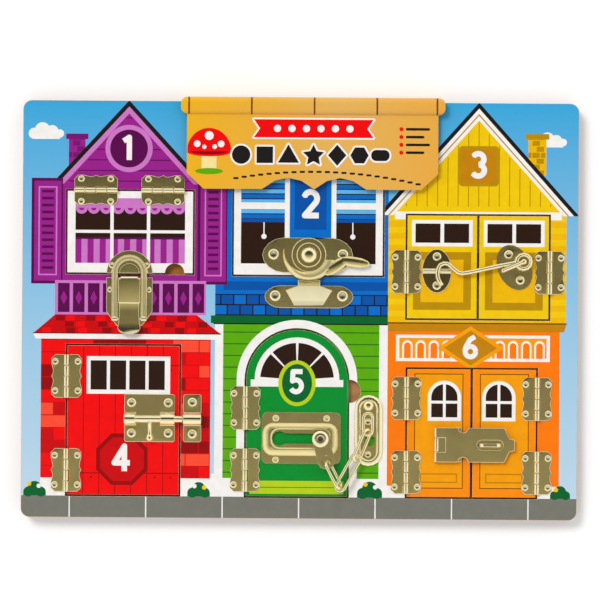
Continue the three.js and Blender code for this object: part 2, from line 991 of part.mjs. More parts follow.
// The lever is a bent strip, its side profile trimmed to its outline from above
function addDrawLever() {
  const { x, pivotY, pivotHeight, curlRadius, tongueHeight } = draw;
  const stripTop = pivotHeight + curlRadius;
  const sheet = brass.sheet;
  const profile = outlineOf([
    [pivotY, stripTop - sheet],
    [pivotY, stripTop],
    [draw.leverStepY, stripTop],
    [draw.leverStepY - sheet, tongueHeight + sheet],
    [draw.tongueFlareY, tongueHeight + sheet],
    [draw.tongueEnd, tongueHeight + draw.tongueLift],
    [draw.tongueEnd, tongueHeight + draw.tongueLift - sheet],
    [draw.tongueFlareY - sheet / 2, tongueHeight],
    [draw.leverStepY, tongueHeight],
    [draw.leverStepY + sheet, stripTop - sheet],
  ]);
  const widest = draw.tongueFlare + brass.overrun;
  const strip = new THREE.ExtrudeGeometry(profile, { depth: 2 * widest, bevelEnabled: false });
  strip.rotateX(quarterTurn);
  strip.rotateZ(quarterTurn);
  strip.translate(x - widest, 0, 0);
  const plan = new THREE.Shape();
  plan.moveTo(x - draw.leverHalf, pivotY + brass.overrun);
  plan.lineTo(x - draw.leverHalf, draw.leverStepY);
  plan.lineTo(x - draw.tongueHalf, draw.leverStepY - sheet);
  plan.quadraticCurveTo(x - draw.tongueWaist, draw.bailPivotY, x - draw.tongueFlare, draw.tongueFlareY);
  plan.quadraticCurveTo(x - draw.tongueHalf, draw.tongueEnd, x, draw.tongueEnd);
  plan.quadraticCurveTo(x + draw.tongueHalf, draw.tongueEnd, x + draw.tongueFlare, draw.tongueFlareY);
  plan.quadraticCurveTo(x + draw.tongueWaist, draw.bailPivotY, x + draw.tongueHalf, draw.leverStepY - sheet);
  plan.lineTo(x + draw.leverHalf, draw.leverStepY);
  plan.lineTo(x + draw.leverHalf, pivotY + brass.overrun);
  plan.closePath();
  const trimmed = toSolid(strip).intersect(slab(plan, 0, stripTop + brass.overrun));
  const curlHalf = draw.earInner - brass.running;
  const curl = barAlongX(pivotY, pivotHeight, curlRadius, x - curlHalf, x + curlHalf, facets.disc / 2);
  const crossPin = barAlongX(draw.bailPivotY, draw.bailPivotHeight, draw.bailPinRadius,
    x - draw.bailOuter, x + draw.bailOuter);
  const bore = barAlongX(pivotY, pivotHeight, draw.pivotRadius + brass.running,
    x - curlHalf - brass.overrun, x + curlHalf + brass.overrun);
  const lever = cutBy(joined(trimmed, curl, crossPin), bore);
  addPart('draw_latch_lever', lever, finishes.brass, corners.window_1);
}

// The bail is a channel: a flat U with a rolled rim along both edges, hung on two lugs
function bailBand(inner, outer, low, high) {
  const { x, bailPivotY: foot, bailTop } = draw;
  const centreY = bailTop - draw.bailOuter;
  const shape = new THREE.Shape();
  shape.moveTo(x - outer, foot);
  shape.lineTo(x - inner, foot);
  shape.lineTo(x - inner, centreY);
  shape.absarc(x, centreY, inner, halfTurn, 0, true);
  shape.lineTo(x + inner, foot);
  shape.lineTo(x + outer, foot);
  shape.lineTo(x + outer, centreY);
  shape.absarc(x, centreY, outer, 0, halfTurn);
  shape.closePath();
  return slab(shape, low, high, facets.arch);
}

function addDrawBail() {
  const { x, bailInner, bailOuter, bailRim, bailBase } = draw;
  const rimTop = bailBase + draw.bailRise;
  const lugs = [-1, 1].map((side) => {
    const ends = [x + side * bailInner, x + side * bailOuter];
    return barAlongX(draw.bailPivotY, draw.bailPivotHeight, draw.bailLugRadius,
      Math.min(...ends), Math.max(...ends));
  });
  const bore = barAlongX(draw.bailPivotY, draw.bailPivotHeight, draw.bailPinRadius + brass.running,
    x - bailOuter - brass.overrun, x + bailOuter + brass.overrun);
  const bail = joined(
    bailBand(bailInner, bailOuter, bailBase, bailBase + brass.sheet),
    bailBand(bailInner, bailInner + bailRim, bailBase, rimTop),
    bailBand(bailOuter - bailRim, bailOuter, bailBase, rimTop),
    ...lugs,
  );
  addPart('draw_latch_bail', cutBy(bail, bore), finishes.brass, corners.window_1);
}

// Sash latch: plate and stud on the flap, turning cam with crescent and handle, keeper on the board
function addSashBase() {
  const outline = lozengeOutline(sash.baseX, sash.baseY, sash.baseLength, sash.baseWidth, sash.baseEnd);
  const { studX: x, studY: y } = sash;
  const headLow = sash.studTop - sash.studHeadRise;
  const base = joined(
    slab(outline, 0, brass.sheet),
    pillar(x, y, sash.discRadius, 0, sash.armBase - brass.seat, facets.disc),
    pillar(x, y, sash.postRadius, 0, headLow + brass.seat),
    dome(x, y, sash.studRadius, headLow, headLow + brass.seat, sash.studTop),
    ...rivetHeads(rivet.widestRadius, [[sash.rivetLeft, sash.rivetY], [sash.rivetRight, sash.rivetY]]),
  );
  addPart('sash_base_plate', base, finishes.brass, corners.window_2);
}

function addSashCam() {
  const { studX: x, studY: y, armBase: low } = sash;
  const high = low + sash.armThickness;
  const crown = crownShares.map(([across, up]) =>
    [sash.crescentRadius - across * sash.crescentRoll, up * sash.armThickness]);
  const inner = sash.crescentRadius - sash.crescentRoll;
  const crescent = cutBy(
    turned([[0, 0], ...crown, [0, crown[crown.length - 1][1]]], x, y, low, facets.crescent),
    turned([
      [0, -brass.overrun],
      [sash.cutRadius, -brass.overrun],
      [sash.cutRadius, 0],
      [sash.cutRadius + sash.cutFlare, sash.armThickness + brass.overrun],
      [0, sash.armThickness + brass.overrun],
    ], x + sash.cutShiftX, y + sash.cutShiftY, low, facets.crescent),
    block(x - board.width, x, y + inner / 2, y + board.height, low - brass.overrun, high + brass.overrun),
    block(x, x + board.width, y + sash.armEnd, y + board.height, low - brass.overrun, high + brass.overrun),
  );
  const arm = joined(
    pillar(x, y, sash.discRadius, low, high - sash.discDrop, facets.crescent),
    pillar(x, y, sash.ringRadius, low, high + sash.ringRise, facets.disc),
    crescent,
    spoon(sash.neckX, sash.neckY, sash.neckLength, sash.neckWidth, low, high, sash.neckTilt),
    spoon(sash.handleX, sash.handleY, sash.handleLength, sash.handleWidth, low, high, sash.handleTilt),
  );
  const room = sash.postRadius + brass.running;
  const recess = sash.studRadius + brass.running;
  const cam = cutBy(
    arm,
    pillar(x, y, room, 0, sash.studTop),
    pillar(x, y, recess, high + sash.ringRise - brass.sheet / 2, sash.studTop),
  );
  addPart('sash_cam', cam, finishes.brass, corners.window_2);
}

function addSashKeeper() {
  const reach = sash.studY - sash.crescentRadius - brass.seat;
  const tongue = outlineOf([
    [keeper.x - keeper.tongueBottomHalf, keeper.tongueBottom],
    [keeper.x + keeper.tongueBottomHalf, keeper.tongueBottom],
    [keeper.x + keeper.tongueShoulderHalf, keeper.tongueShoulderY],
    [keeper.x + keeper.tongueNeckHalf, keeper.tongueNeckY],
    [keeper.x + keeper.tongueNeckHalf, reach + brass.overrun],
    [keeper.x - keeper.tongueNeckHalf, reach + brass.overrun],
    [keeper.x - keeper.tongueNeckHalf, keeper.tongueNeckY],
    [keeper.x - keeper.tongueShoulderHalf, keeper.tongueShoulderY],
  ]);
  const path = pillar(sash.studX, sash.studY, sash.crescentRadius + brass.seat,
    -brass.overrun, keeper.tongueHeight + brass.overrun, facets.crescent);
  const side = outlineOf([
    [keeper.tongueBottom, 0],
    [keeper.tongueBottom, keeper.tongueFoot],
    [keeper.tongueKneeY, keeper.tongueKneeHeight],
    [keeper.tongueNeckY, keeper.tongueHeight],
    [reach + brass.overrun, keeper.tongueHeight],
    [reach + brass.overrun, 0],
  ]);
  const rampWidth = 2 * keeper.tongueShoulderHalf;
  const ramp = new THREE.ExtrudeGeometry(side, { depth: rampWidth, bevelEnabled: false });
  ramp.rotateX(quarterTurn);
  ramp.rotateZ(quarterTurn);
  ramp.translate(keeper.x - keeper.tongueShoulderHalf, 0, 0);
  const plate = joined(
    slab(lozengeOutline(keeper.x, keeper.y, keeper.length, keeper.width, keeper.end), 0, brass.sheet),
    cutBy(slab(tongue, 0, keeper.tongueHeight).intersect(toSolid(ramp)), path),
    ...rivetHeads(rivet.widestRadius, [
      [keeper.rivetLeft, keeper.rivetY],
      [keeper.rivetRight, keeper.rivetY],
    ]),
  );
  addPart('sash_keeper', plate, finishes.brass, corners.window_2);
}

// Hook and eye: an eye plate on each leaf, the hook hung on the right one
function ellipsePlate(x, y, halfWidth, halfHeight, tilt, rivetReach) {
  const angle = THREE.MathUtils.degToRad(tilt);
  const plate = new THREE.ExtrudeGeometry(
    ellipseOutline(halfWidth, halfHeight),
    { depth: brass.sheet, bevelEnabled: false, curveSegments: facets.disc / 2 },
  );
  plate.rotateZ(angle);
  plate.translate(x, y, 0);
  const [dx, dy] = [-Math.sin(angle) * rivetReach, Math.cos(angle) * rivetReach];
  return joined(toSolid(plate), ...rivetHeads(rivet.wideRadius, [[x + dx, y + dy], [x - dx, y - dy]]));
}

function addEyePlates() {
  const left = joined(
    ellipsePlate(eye.leftX, eye.leftY, eye.leftHalfWidth, eye.leftHalfHeight, 0, eye.leftRivets),
    cutBy(
      barAlongX(eye.leftY, eye.barTop - eye.barRadius, eye.barRadius,
        eye.leftX - eye.barHalf, eye.leftX + eye.barHalf),
      block(eye.leftX - board.width, eye.leftX + board.width, -board.height, board.height,
        -board.frontThickness, 0),
    ),
  );
  addPart('eye_plate_left', left, finishes.brass, corners.door_3);
  const [dx, dy] = [eye.strapEndX - eye.postX, eye.strapEndY - eye.postY];
  // The strap is the upper half of a round bar, from the post to a foot
  const radius = eye.strapRadius;
  const strap = toGeometry(barAlongX(0, 0, radius, 0, Math.hypot(dx, dy)));
  strap.rotateZ(Math.atan2(dy, dx));
  strap.translate(eye.postX, eye.postY, eye.strapBase);
  const strapSide = board.frontThickness;
  const right = joined(
    ellipsePlate(eye.rightX, eye.rightY, eye.rightHalfWidth, eye.rightHalfHeight,
      eye.rightTilt, eye.rightRivets),
    pillar(eye.postX, eye.postY, eye.seatRadius, 0, hook.height - hook.wireRadius - brass.seat),
    dome(eye.postX, eye.postY, eye.postRadius, 0, eye.strapBase, eye.strapBase + radius),
    dome(eye.strapEndX, eye.strapEndY, radius, 0, eye.strapBase, eye.strapBase + radius),
    cutBy(toSolid(strap), block(eye.strapEndX - strapSide, eye.postX + strapSide,
      eye.strapEndY - strapSide, eye.postY + strapSide, -board.frontThickness, eye.strapBase)),
  );
  addPart('eye_plate_right', right, finishes.brass, corners.door_3);
}

function addHook() {
  const points = Object.values(hook.path).map(([x, y]) => new THREE.Vector3(x, y, hook.height));
  const curve = new THREE.CatmullRomCurve3(points);
  const section = new THREE.Shape();
  for (let i = 0; i < facets.hookSides; i += 1) {
    const angle = (2 * halfTurn * i) / facets.hookSides;
    const [x, y] = [hook.wireRadius * Math.cos(angle), hook.wireRadius * Math.sin(angle)];
    if (i === 0) section.moveTo(x, y);
    else section.lineTo(x, y);
  }
  section.closePath();
  const wire = new THREE.ExtrudeGeometry(section, { steps: facets.hookSteps, extrudePath: curve });
  const ring = new THREE.TorusGeometry(hook.ringRadius, hook.wireRadius, facets.hookSides, facets.disc / 2);
  ring.translate(eye.postX, eye.postY, hook.height);
  addPart('door_hook', joined(toSolid(wire), toSolid(ring)), finishes.brass, corners.door_3);
}

// Slide bolt: a case with two bands, the rod with its knob, and the keeper's barrel
function boltBand(from, to) {
  return joined(
    barAlongX(bolt.y, bolt.height, bolt.bandRadius, from, to, facets.disc / 2),
    block(from, to, bolt.y - bolt.bandRadius, bolt.y + bolt.bandRadius, 0, bolt.height),
  );
}

function addBolt() {
  const { caseLeft, caseRight, plateTop, plateBottom, plateCorner } = bolt;
  const bore = barAlongX(bolt.y, bolt.height, bolt.bore,
    caseLeft - brass.overrun, bolt.keeperRight + brass.overrun);
  const boltCase = cutBy(joined(
    slab(boxOutline(caseLeft, caseRight, plateBottom, plateTop, plateCorner), 0, brass.sheet, facets.edge),
    boltBand(caseLeft, bolt.leftBandEnd),
    boltBand(bolt.rightBandStart, caseRight),
    ...rivetHeads(rivet.wideRadius, [
      [bolt.rivetLeft, bolt.rivetUpper],
      [bolt.rivetLeft, bolt.rivetLower],
      [bolt.rivetRight, bolt.rivetUpper],
      [bolt.rivetRight, bolt.rivetLower],
    ]),
  ), bore);
  addPart('bolt_case', boltCase, finishes.brass, corners.door_4);
  const keeperPlate = slab(boxOutline(bolt.keeperLeft, bolt.keeperRight, plateBottom, plateTop, plateCorner),
    0, brass.sheet, facets.edge);
  const boltKeeper = cutBy(joined(
    keeperPlate,
    boltBand(bolt.keeperLeft, bolt.keeperRight),
    ...rivetHeads(rivet.wideRadius, [
      [bolt.keeperRivetX, bolt.keeperRivetUpper],
      [bolt.keeperRivetX, bolt.keeperRivetLower],
    ]),
  ), bore);
  addPart('bolt_keeper', boltKeeper, finishes.brass, corners.door_4);
  const knobX = bolt.knobThrownX - bolt.throw;
  const tip = bolt.keeperLeft - brass.seat;
  const reach = bolt.y - bolt.knobEnd;
  const knob = turned([
    [0, 0],
    [bolt.stemRadius, 0],
    [bolt.stemRadius, reach - bolt.neckRise],
    [bolt.ballEndRadius, reach - bolt.ballLower],
    [bolt.knobRadius, reach - bolt.ballMiddle],
    [bolt.ballEndRadius, reach - bolt.ballUpper],
    [0, reach],
  ], 0, 0, 0, facets.rod).rotate([90, 0, 0]).translate([knobX, bolt.y, bolt.height]);
  const rod = barAlongX(bolt.y, bolt.height, bolt.rodRadius, knobX - bolt.rodTail, tip);
  addPart('bolt_rod', joined(rod, knob), finishes.brass, corners.door_4);
}

// Chain latch: slotted track and slider on the door, four links, anchor plate on the board
function slotOutline(left, right, y, half) {
  const shape = new THREE.Shape();
  shape.moveTo(left, y - half);
  shape.lineTo(right - half, y - half);
  shape.absarc(right - half, y, half, -quarterTurn, quarterTurn);
  shape.lineTo(left, y + half);
  shape.closePath();
  return shape;
}

function addTrack() {
  const cut = brass.overrun;
  const { floorLeft, floorRight, floorBottom, floorTop, floorHeight, rimHeight } = track;
  const plate = joined(
    layeredBox(track.left, track.right, track.bottom, track.top, track.corner, [[0, 0], [0, brass.sheet]]),
    layeredBox(track.rimLeft, track.rimRight, track.rimBottom, track.rimTop, track.rimCorner,
      rollLayers(track.rimRoll, 0, rimHeight)),
    ...rivetHeads(rivet.radius, [
      [track.rivetLeft, track.rivetUpper],
      [track.rivetLeft, track.rivetLower],
      [track.rivetRight, track.rivetUpper],
    ]),
  );
  const hollow = layeredBox(floorLeft, floorRight, floorBottom, floorTop, track.floorCorner,
    [...rollLayers(track.slotRoll, floorHeight, rimHeight, -1), [-track.slotRoll, rimHeight + cut]]);
  const room = layeredBox(floorLeft, floorRight, floorBottom, floorTop, track.floorCorner,
    [[0, -cut], [0, track.roomHeight]]);
  const keyhole = pillar(track.keyX, track.slotY, track.keyRadius, -cut, track.rimHeight, facets.disc / 2);
  const slot = slab(slotOutline(track.keyX, track.slotEnd, track.slotY, track.slotHalf),
    -cut, track.rimHeight);
  addPart('chain_track', cutBy(plate, hollow, room, keyhole, slot), finishes.brass, corners.door_5);
}

// Outline of a strap between two round ends of different size
function taperedOutline(x0, y0, r0, x1, y1, r1) {
  const along = Math.atan2(y1 - y0, x1 - x0);
  const spread = Math.acos((r0 - r1) / Math.hypot(x1 - x0, y1 - y0));
  const shape = new THREE.Shape();
  shape.absarc(x0, y0, r0, along + spread, along - spread + 2 * halfTurn);
  shape.absarc(x1, y1, r1, along - spread, along + spread);
  shape.closePath();
  return shape;
}

function addSlider() {
  const { x } = slider;
  const y = track.slotY;
  const strapLow = chain.height - slider.strapThickness / 2;
  const strapHigh = chain.height + slider.strapThickness / 2;
  const footLow = brass.seat;
  const footHigh = footLow + slider.footHeight;
  const stud = turned([
    [0, footLow],
    [slider.footRadius, footLow],
    [slider.footRadius, footHigh],
    [slider.stemRadius, footHigh],
    [slider.stemRadius, strapHigh],
    [slider.headRadius, strapHigh],
    [slider.headRadius, strapHigh + slider.headRise / 2],
    [slider.dimpleRim, strapHigh + slider.headRise],
    [slider.dimpleRadius, strapHigh + slider.headRise],
    [0, strapHigh + slider.headRise - slider.dimpleDepth],
  ], x, y, 0, facets.disc / 2);
  const outline = taperedOutline(x, y, slider.headRadius,
    slider.strapEndX, slider.strapEndY, slider.strapEndRadius);
  outline.holes.push(discOutline(slider.strapEndX, slider.strapEndY, slider.strapHole));
  addPart('chain_slider', joined(stud, slab(outline, strapLow, strapHigh)), finishes.brass, corners.door_5);
}

// Each link is an oval of wire, leaning to one side about its length, so that they interlock
function addChainLinks() {
  const stops = Object.values(chain.pivots);
  for (let i = 0; i + 1 < stops.length; i += 1) {
    const [x0, y0] = stops[i];
    const [x1, y1] = stops[i + 1];
    const end = Math.hypot(x1 - x0, y1 - y0) + chain.endReach[i];
    const ring = ovalRing(-chain.startReach[i], end, chain.halfWidth, chain.wireRadius,
      chain.turnSteps, chain.sides);
    ring.rotateX(THREE.MathUtils.degToRad(chain.leans[i]));
    const link = addPart(`chain_link_${i + 1}`, toSolid(ring), finishes.brass, corners.door_5);
    link.position.set(x0, y0, chain.height);
    link.rotation.z = Math.atan2(y1 - y0, x1 - x0);
  }
}

function addAnchor() {
  const radius = (anchor.right - anchor.left) / 2;
  const inset = anchor.floorInset;
  const rim = layeredBox(anchor.left, anchor.right, anchor.bottom, anchor.top, radius,
    rollLayers(anchor.rimRoll, 0, anchor.rimHeight));
  const [left, right] = [anchor.left + inset, anchor.right - inset];
  const floor = layeredBox(left, right, anchor.bottom + inset, anchor.top - inset, radius - inset, [
    ...rollLayers(anchor.floorRoll, brass.sheet, anchor.rimHeight, -1),
    [-anchor.floorRoll, anchor.rimHeight + brass.overrun],
  ]);
  const plate = joined(
    cutBy(rim, floor),
    dome(anchor.tabX, anchor.tabY, anchor.tabRadius, 0, anchor.tabShoulder, anchor.tabHeight),
    rivetHead(anchor.rivetX, anchor.rivetUpper, rivet.radius, brass.sheet - brass.seat),
    rivetHead(anchor.rivetX, anchor.rivetLower, rivet.radius, brass.sheet - brass.seat),
  );
  const hole = pillar(anchor.holeX, anchor.holeY, anchor.holeRadius, -brass.overrun,
    anchor.rimHeight + brass.overrun, facets.disc / 2);
  addPart('chain_anchor', cutBy(plate, hole), finishes.brass, corners.door_5);
}

// Hasp: leaf and strap on the left leaf, staple on the right
function haspOutline() {
  const { hingeX: left, y, halfWidth: wide } = hasp;
  const upper = [
    [left, wide],
    [hasp.chamferX, wide],
    [hasp.chamferMidX, hasp.chamferMidHalf],
    [hasp.strapRight, hasp.endHalf],
  ];
  const lower = upper.map(([x, reach]) => [x, -reach]).reverse();
  return outlineOf([...lower, ...upper].map(([x, reach]) => [x, y + reach]));
}

function addHasp() {
  const { hingeX: x, y, halfWidth: wide, windowHalf } = hasp;
  const gap = hinge.knuckleGap;
  const own = [[y - wide, y - windowHalf - gap / 2], [y + windowHalf + gap / 2, y + wide]];
  const strapTop = hasp.strapHeight + hasp.strapThickness;
  const reach = hinge.knuckleRadius + brass.running;
  const middle = [y - windowHalf - gap / 2, y + windowHalf + gap / 2];
  const strap = cutBy(
    joined(
      slab(haspOutline(), hasp.strapHeight, strapTop),
      ...own.map(([from, to]) => barAlongY(x, axisHeight, hinge.knuckleRadius, from, to, facets.knuckle)),
    ),
    block(x - reach, x + hasp.windowFar, ...middle, -brass.overrun, strapTop + brass.overrun),
    pillar(hasp.notchX, y + wide, hasp.notchRadius, 0, strapTop + brass.overrun, facets.disc / 2),
    pillar(hasp.notchX, y - wide, hasp.notchRadius, 0, strapTop + brass.overrun, facets.disc / 2),
    slab(boxOutline(hasp.slotLeft, hasp.slotRight, y - hasp.slotHalf, y + hasp.slotHalf, hasp.slotHalf),
      0, strapTop + brass.overrun),
    barAlongY(x, axisHeight, hinge.pinRadius + brass.running,
      y - wide - brass.overrun, y + wide + brass.overrun, facets.knuckle),
  );
  addPart('hasp_strap', strap, finishes.brass, corners.door_6);
  const leaf = cutBy(
    joined(
      slab(boxOutline(x, hasp.leafRight, y - wide, y + wide, brass.sheet), 0, brass.sheet, facets.edge),
      barAlongY(x, axisHeight, hinge.knuckleRadius, y - windowHalf + gap / 2, y + windowHalf - gap / 2,
        facets.knuckle),
    ),
    ...own.map(([from, to]) =>
      block(x - reach, x + reach, from - gap, to + gap, -brass.overrun, brass.sheet + brass.overrun)),
  );
  const pin = barAlongY(x, axisHeight, hinge.pinRadius, y - wide, y + wide, facets.knuckle);
  const rivetTop = brass.sheet + brass.seat;
  const lowRivets = [-1, 1].map((side) =>
    pillar(hasp.leafRivetX, y + side * hasp.leafRivetY, rivet.smallRadius, 0, rivetTop, facets.rivet));
  addPart('hasp_leaf', joined(leaf, pin, ...lowRivets), finishes.brass, corners.door_6);
  addStaple();
}

function addStaple() {
  const { stapleLeft: left, stapleRight: right, stapleTop: top, stapleWire: wire, y } = hasp;
  const [inner, outer] = [hasp.stapleBend - wire, hasp.stapleBend + wire];
  const loop = new THREE.Shape();
  loop.moveTo(left - wire, 0);
  loop.lineTo(left - wire, top - outer);
  loop.absarc(left - wire + outer, top - outer, outer, halfTurn, quarterTurn, true);
  loop.absarc(right + wire - outer, top - outer, outer, quarterTurn, 0, true);
  loop.lineTo(right + wire, 0);
  loop.lineTo(right - wire, 0);
  loop.absarc(right - wire - inner, top - outer, inner, 0, quarterTurn);
  loop.absarc(left + wire + inner, top - outer, inner, quarterTurn, halfTurn);
  loop.lineTo(left + wire, 0);
  loop.closePath();
  const arch = new THREE.ExtrudeGeometry(loop, {
    depth: 2 * wire,
    bevelEnabled: false,
    curveSegments: facets.corner,
  });
  arch.rotateX(quarterTurn);
  arch.translate(0, y + wire, 0);
  const pad = hasp.platePad;
  const rivetTop = brass.sheet + brass.seat;
  const lowRivets = [-1, 1].flatMap((side) => [left, right].map((x) =>
    pillar(x, y + side * hasp.plateRivetY, rivet.smallRadius, 0, rivetTop, facets.rivet)));
  const staple = joined(
    slab(boxOutline(left - pad, right + pad, y - hasp.plateHalf, y + hasp.plateHalf, brass.sheet),
      0, brass.sheet, facets.edge),
    toSolid(arch),
    ...lowRivets,
  );
  addPart('hasp_staple', staple, finishes.brass, corners.door_6);
}

// Folded card: a flat sheet over the second window's hinge, a rolled fold, and a short hanging edge
function addCard() {
  const low = 2 * hinge.knuckleRadius + hinge.faceClearance + brass.seat;
  const high = low + card.sheet;
  const sheet = new THREE.Shape();
  sheet.moveTo(card.left, card.rollTop - brass.overrun);
  sheet.lineTo(card.left, card.bottom + card.cornerCutY);
  sheet.lineTo(card.left + card.cornerCutX, card.bottom);
  sheet.lineTo(card.archFirst, card.bottom);
  for (const [from, to] of [[card.archFirst, card.archMiddle], [card.archMiddle, card.archLast]]) {
    sheet.quadraticCurveTo((from + to) / 2, card.bottom + card.archPull, to, card.bottom);
  }
  sheet.lineTo(card.right - card.cornerCutX, card.bottom);
  sheet.lineTo(card.right, card.bottom + card.cornerCutY);
  sheet.lineTo(card.right, card.rollTop - brass.overrun);
  sheet.closePath();
  const edge = brass.seat;
  const top = high + card.rollRise;
  const middle = (card.rollBottom + card.rollTop) / 2;
  const fold = new THREE.Shape();
  fold.moveTo(card.rollBottom, low);
  fold.quadraticCurveTo(card.rollBottom, top, middle, top);
  fold.quadraticCurveTo(card.rollTop, top, card.rollTop, low);
  fold.lineTo(card.rollTop - card.sheet, -card.hangDown);
  fold.lineTo(edge, -card.hangDown);
  fold.lineTo(edge, low);
  fold.closePath();
  const roll = new THREE.ExtrudeGeometry(fold, {
    depth: card.rollRight - card.rollLeft,
    bevelEnabled: false,
    curveSegments: facets.curve,
  });
  roll.rotateX(quarterTurn);
  roll.rotateZ(quarterTurn);
  roll.translate(card.rollLeft, 0, 0);
  const plan = boxOutline(card.rollLeft, card.rollRight, card.rollBottom, card.rollTop, card.lobeRadius);
  const lobes = slab(plan, -card.hangDown, top);
  const folded = joined(slab(sheet, low, high), toSolid(roll).intersect(lobes));
  addPart('header_card', folded, finishes.card, corners.top);
}

addBoard();
addDoors();
addHinges();
addDrawCatch();
addDrawBase();
addDrawLever();
addDrawBail();
addSashBase();
addSashCam();
addSashKeeper();
addEyePlates();
addHook();
addBolt();
addTrack();
addSlider();
addChainLinks();
addAnchor();
addHasp();
addCard();

export default latchBoard;
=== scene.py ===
import json
import math

import bpy
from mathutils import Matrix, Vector
from mathutils.geometry import delaunay_2d_cdt


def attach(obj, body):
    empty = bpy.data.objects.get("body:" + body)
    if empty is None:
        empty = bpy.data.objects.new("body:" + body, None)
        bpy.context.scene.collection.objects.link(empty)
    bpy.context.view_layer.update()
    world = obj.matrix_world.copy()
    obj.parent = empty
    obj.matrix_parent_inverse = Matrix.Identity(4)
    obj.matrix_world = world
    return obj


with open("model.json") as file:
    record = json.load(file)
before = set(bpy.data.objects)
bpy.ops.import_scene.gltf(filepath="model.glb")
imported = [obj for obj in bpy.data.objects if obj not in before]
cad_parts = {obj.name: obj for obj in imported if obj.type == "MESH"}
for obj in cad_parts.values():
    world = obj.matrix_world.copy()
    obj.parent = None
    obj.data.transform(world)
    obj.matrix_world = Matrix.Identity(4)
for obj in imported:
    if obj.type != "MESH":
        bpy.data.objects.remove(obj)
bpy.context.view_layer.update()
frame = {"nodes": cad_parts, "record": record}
nodes = frame["nodes"]
bodies = frame["record"]["behaviour"]["bodies"]

MM = 0.001
# Heights of the board's face and of the ground behind the doors, and how far a print lies over its wood
FACE = 13.0
RECESS = 7.0
PRINT_LIFT = 0.05
CARD = "header_card"

# The board's cut-outs: left, right, bottom, top
OPENINGS = {
    "window_1": (-168.8, -76.1, 24.9, 86.1),
    "window_2": (-49.1, 60.5, 24.1, 115),
    "door_3": (75.8, 180.0, -6.4, 70),
    "door_4": (-168.1, -85.2, -134.7, -25.1),
    "door_5": (-39.4, 35.9, -135.1, -12.9),
    "door_6": (76.4, 171.5, -134.9, -40.5),
}
DOOR_GAP = 1.2
SEAM = 1.7
PRINT_INSET = 0.15

# Finger notches beside the first window and the fifth door: centre and radius
WINDOW_NOTCH = (-90.3, 26.1, 6.9)
DOOR_NOTCH = (35.9, -58.1, 8.3)

# Printed inks, as sRGB
INKS = {
    "white": (245, 241, 237),
    "pane": (42, 22, 10),
    "dark": (28, 24, 22),
    "line": (96, 60, 10),
    "seam": (120, 58, 8),
    "purple": (152, 32, 138),
    "lilac": (205, 120, 196),
    "plum": (90, 4, 76),
    "violet": (122, 16, 112),
    "blue": (0, 108, 200),
    "navy": (2, 82, 166),
    "deep_navy": (8, 56, 128),
    "ice": (96, 182, 232),
    "yellow": (242, 200, 4),
    "amber": (240, 184, 2),
    "ochre": (186, 140, 2),
    "red": (243, 4, 6),
    "crimson": (204, 2, 8),
    "maroon": (150, 0, 4),
    "coral": (255, 76, 50),
    "leaf": (90, 170, 4),
    "moss": (44, 112, 14),
    "green": (2, 140, 46),
    "pine": (2, 98, 44),
    "lime": (182, 208, 22),
    "orange": (255, 122, 2),
    "tangerine": (246, 158, 2),
    "apricot": (252, 140, 4),
    "bronze": (196, 130, 4),
    "pavement": (120, 119, 110),
    "bare": (186, 122, 58),
    "rose": (238, 170, 190),
    "pale_blue": (164, 206, 232),
    "cream": (250, 226, 150),
    "mint": (170, 220, 150),
}


def linear(rgb):
    """sRGB 0 to 255 as linear RGBA."""
    out = []
    for c in rgb:
        c = c / 255
        out.append(c / 12.92 if c <= 0.04045 else ((c + 0.055) / 1.055) ** 2.4)
    return (*out, 1)


BLACK = (0, 0, 0, 1)
WHITE = (1, 1, 1, 1)


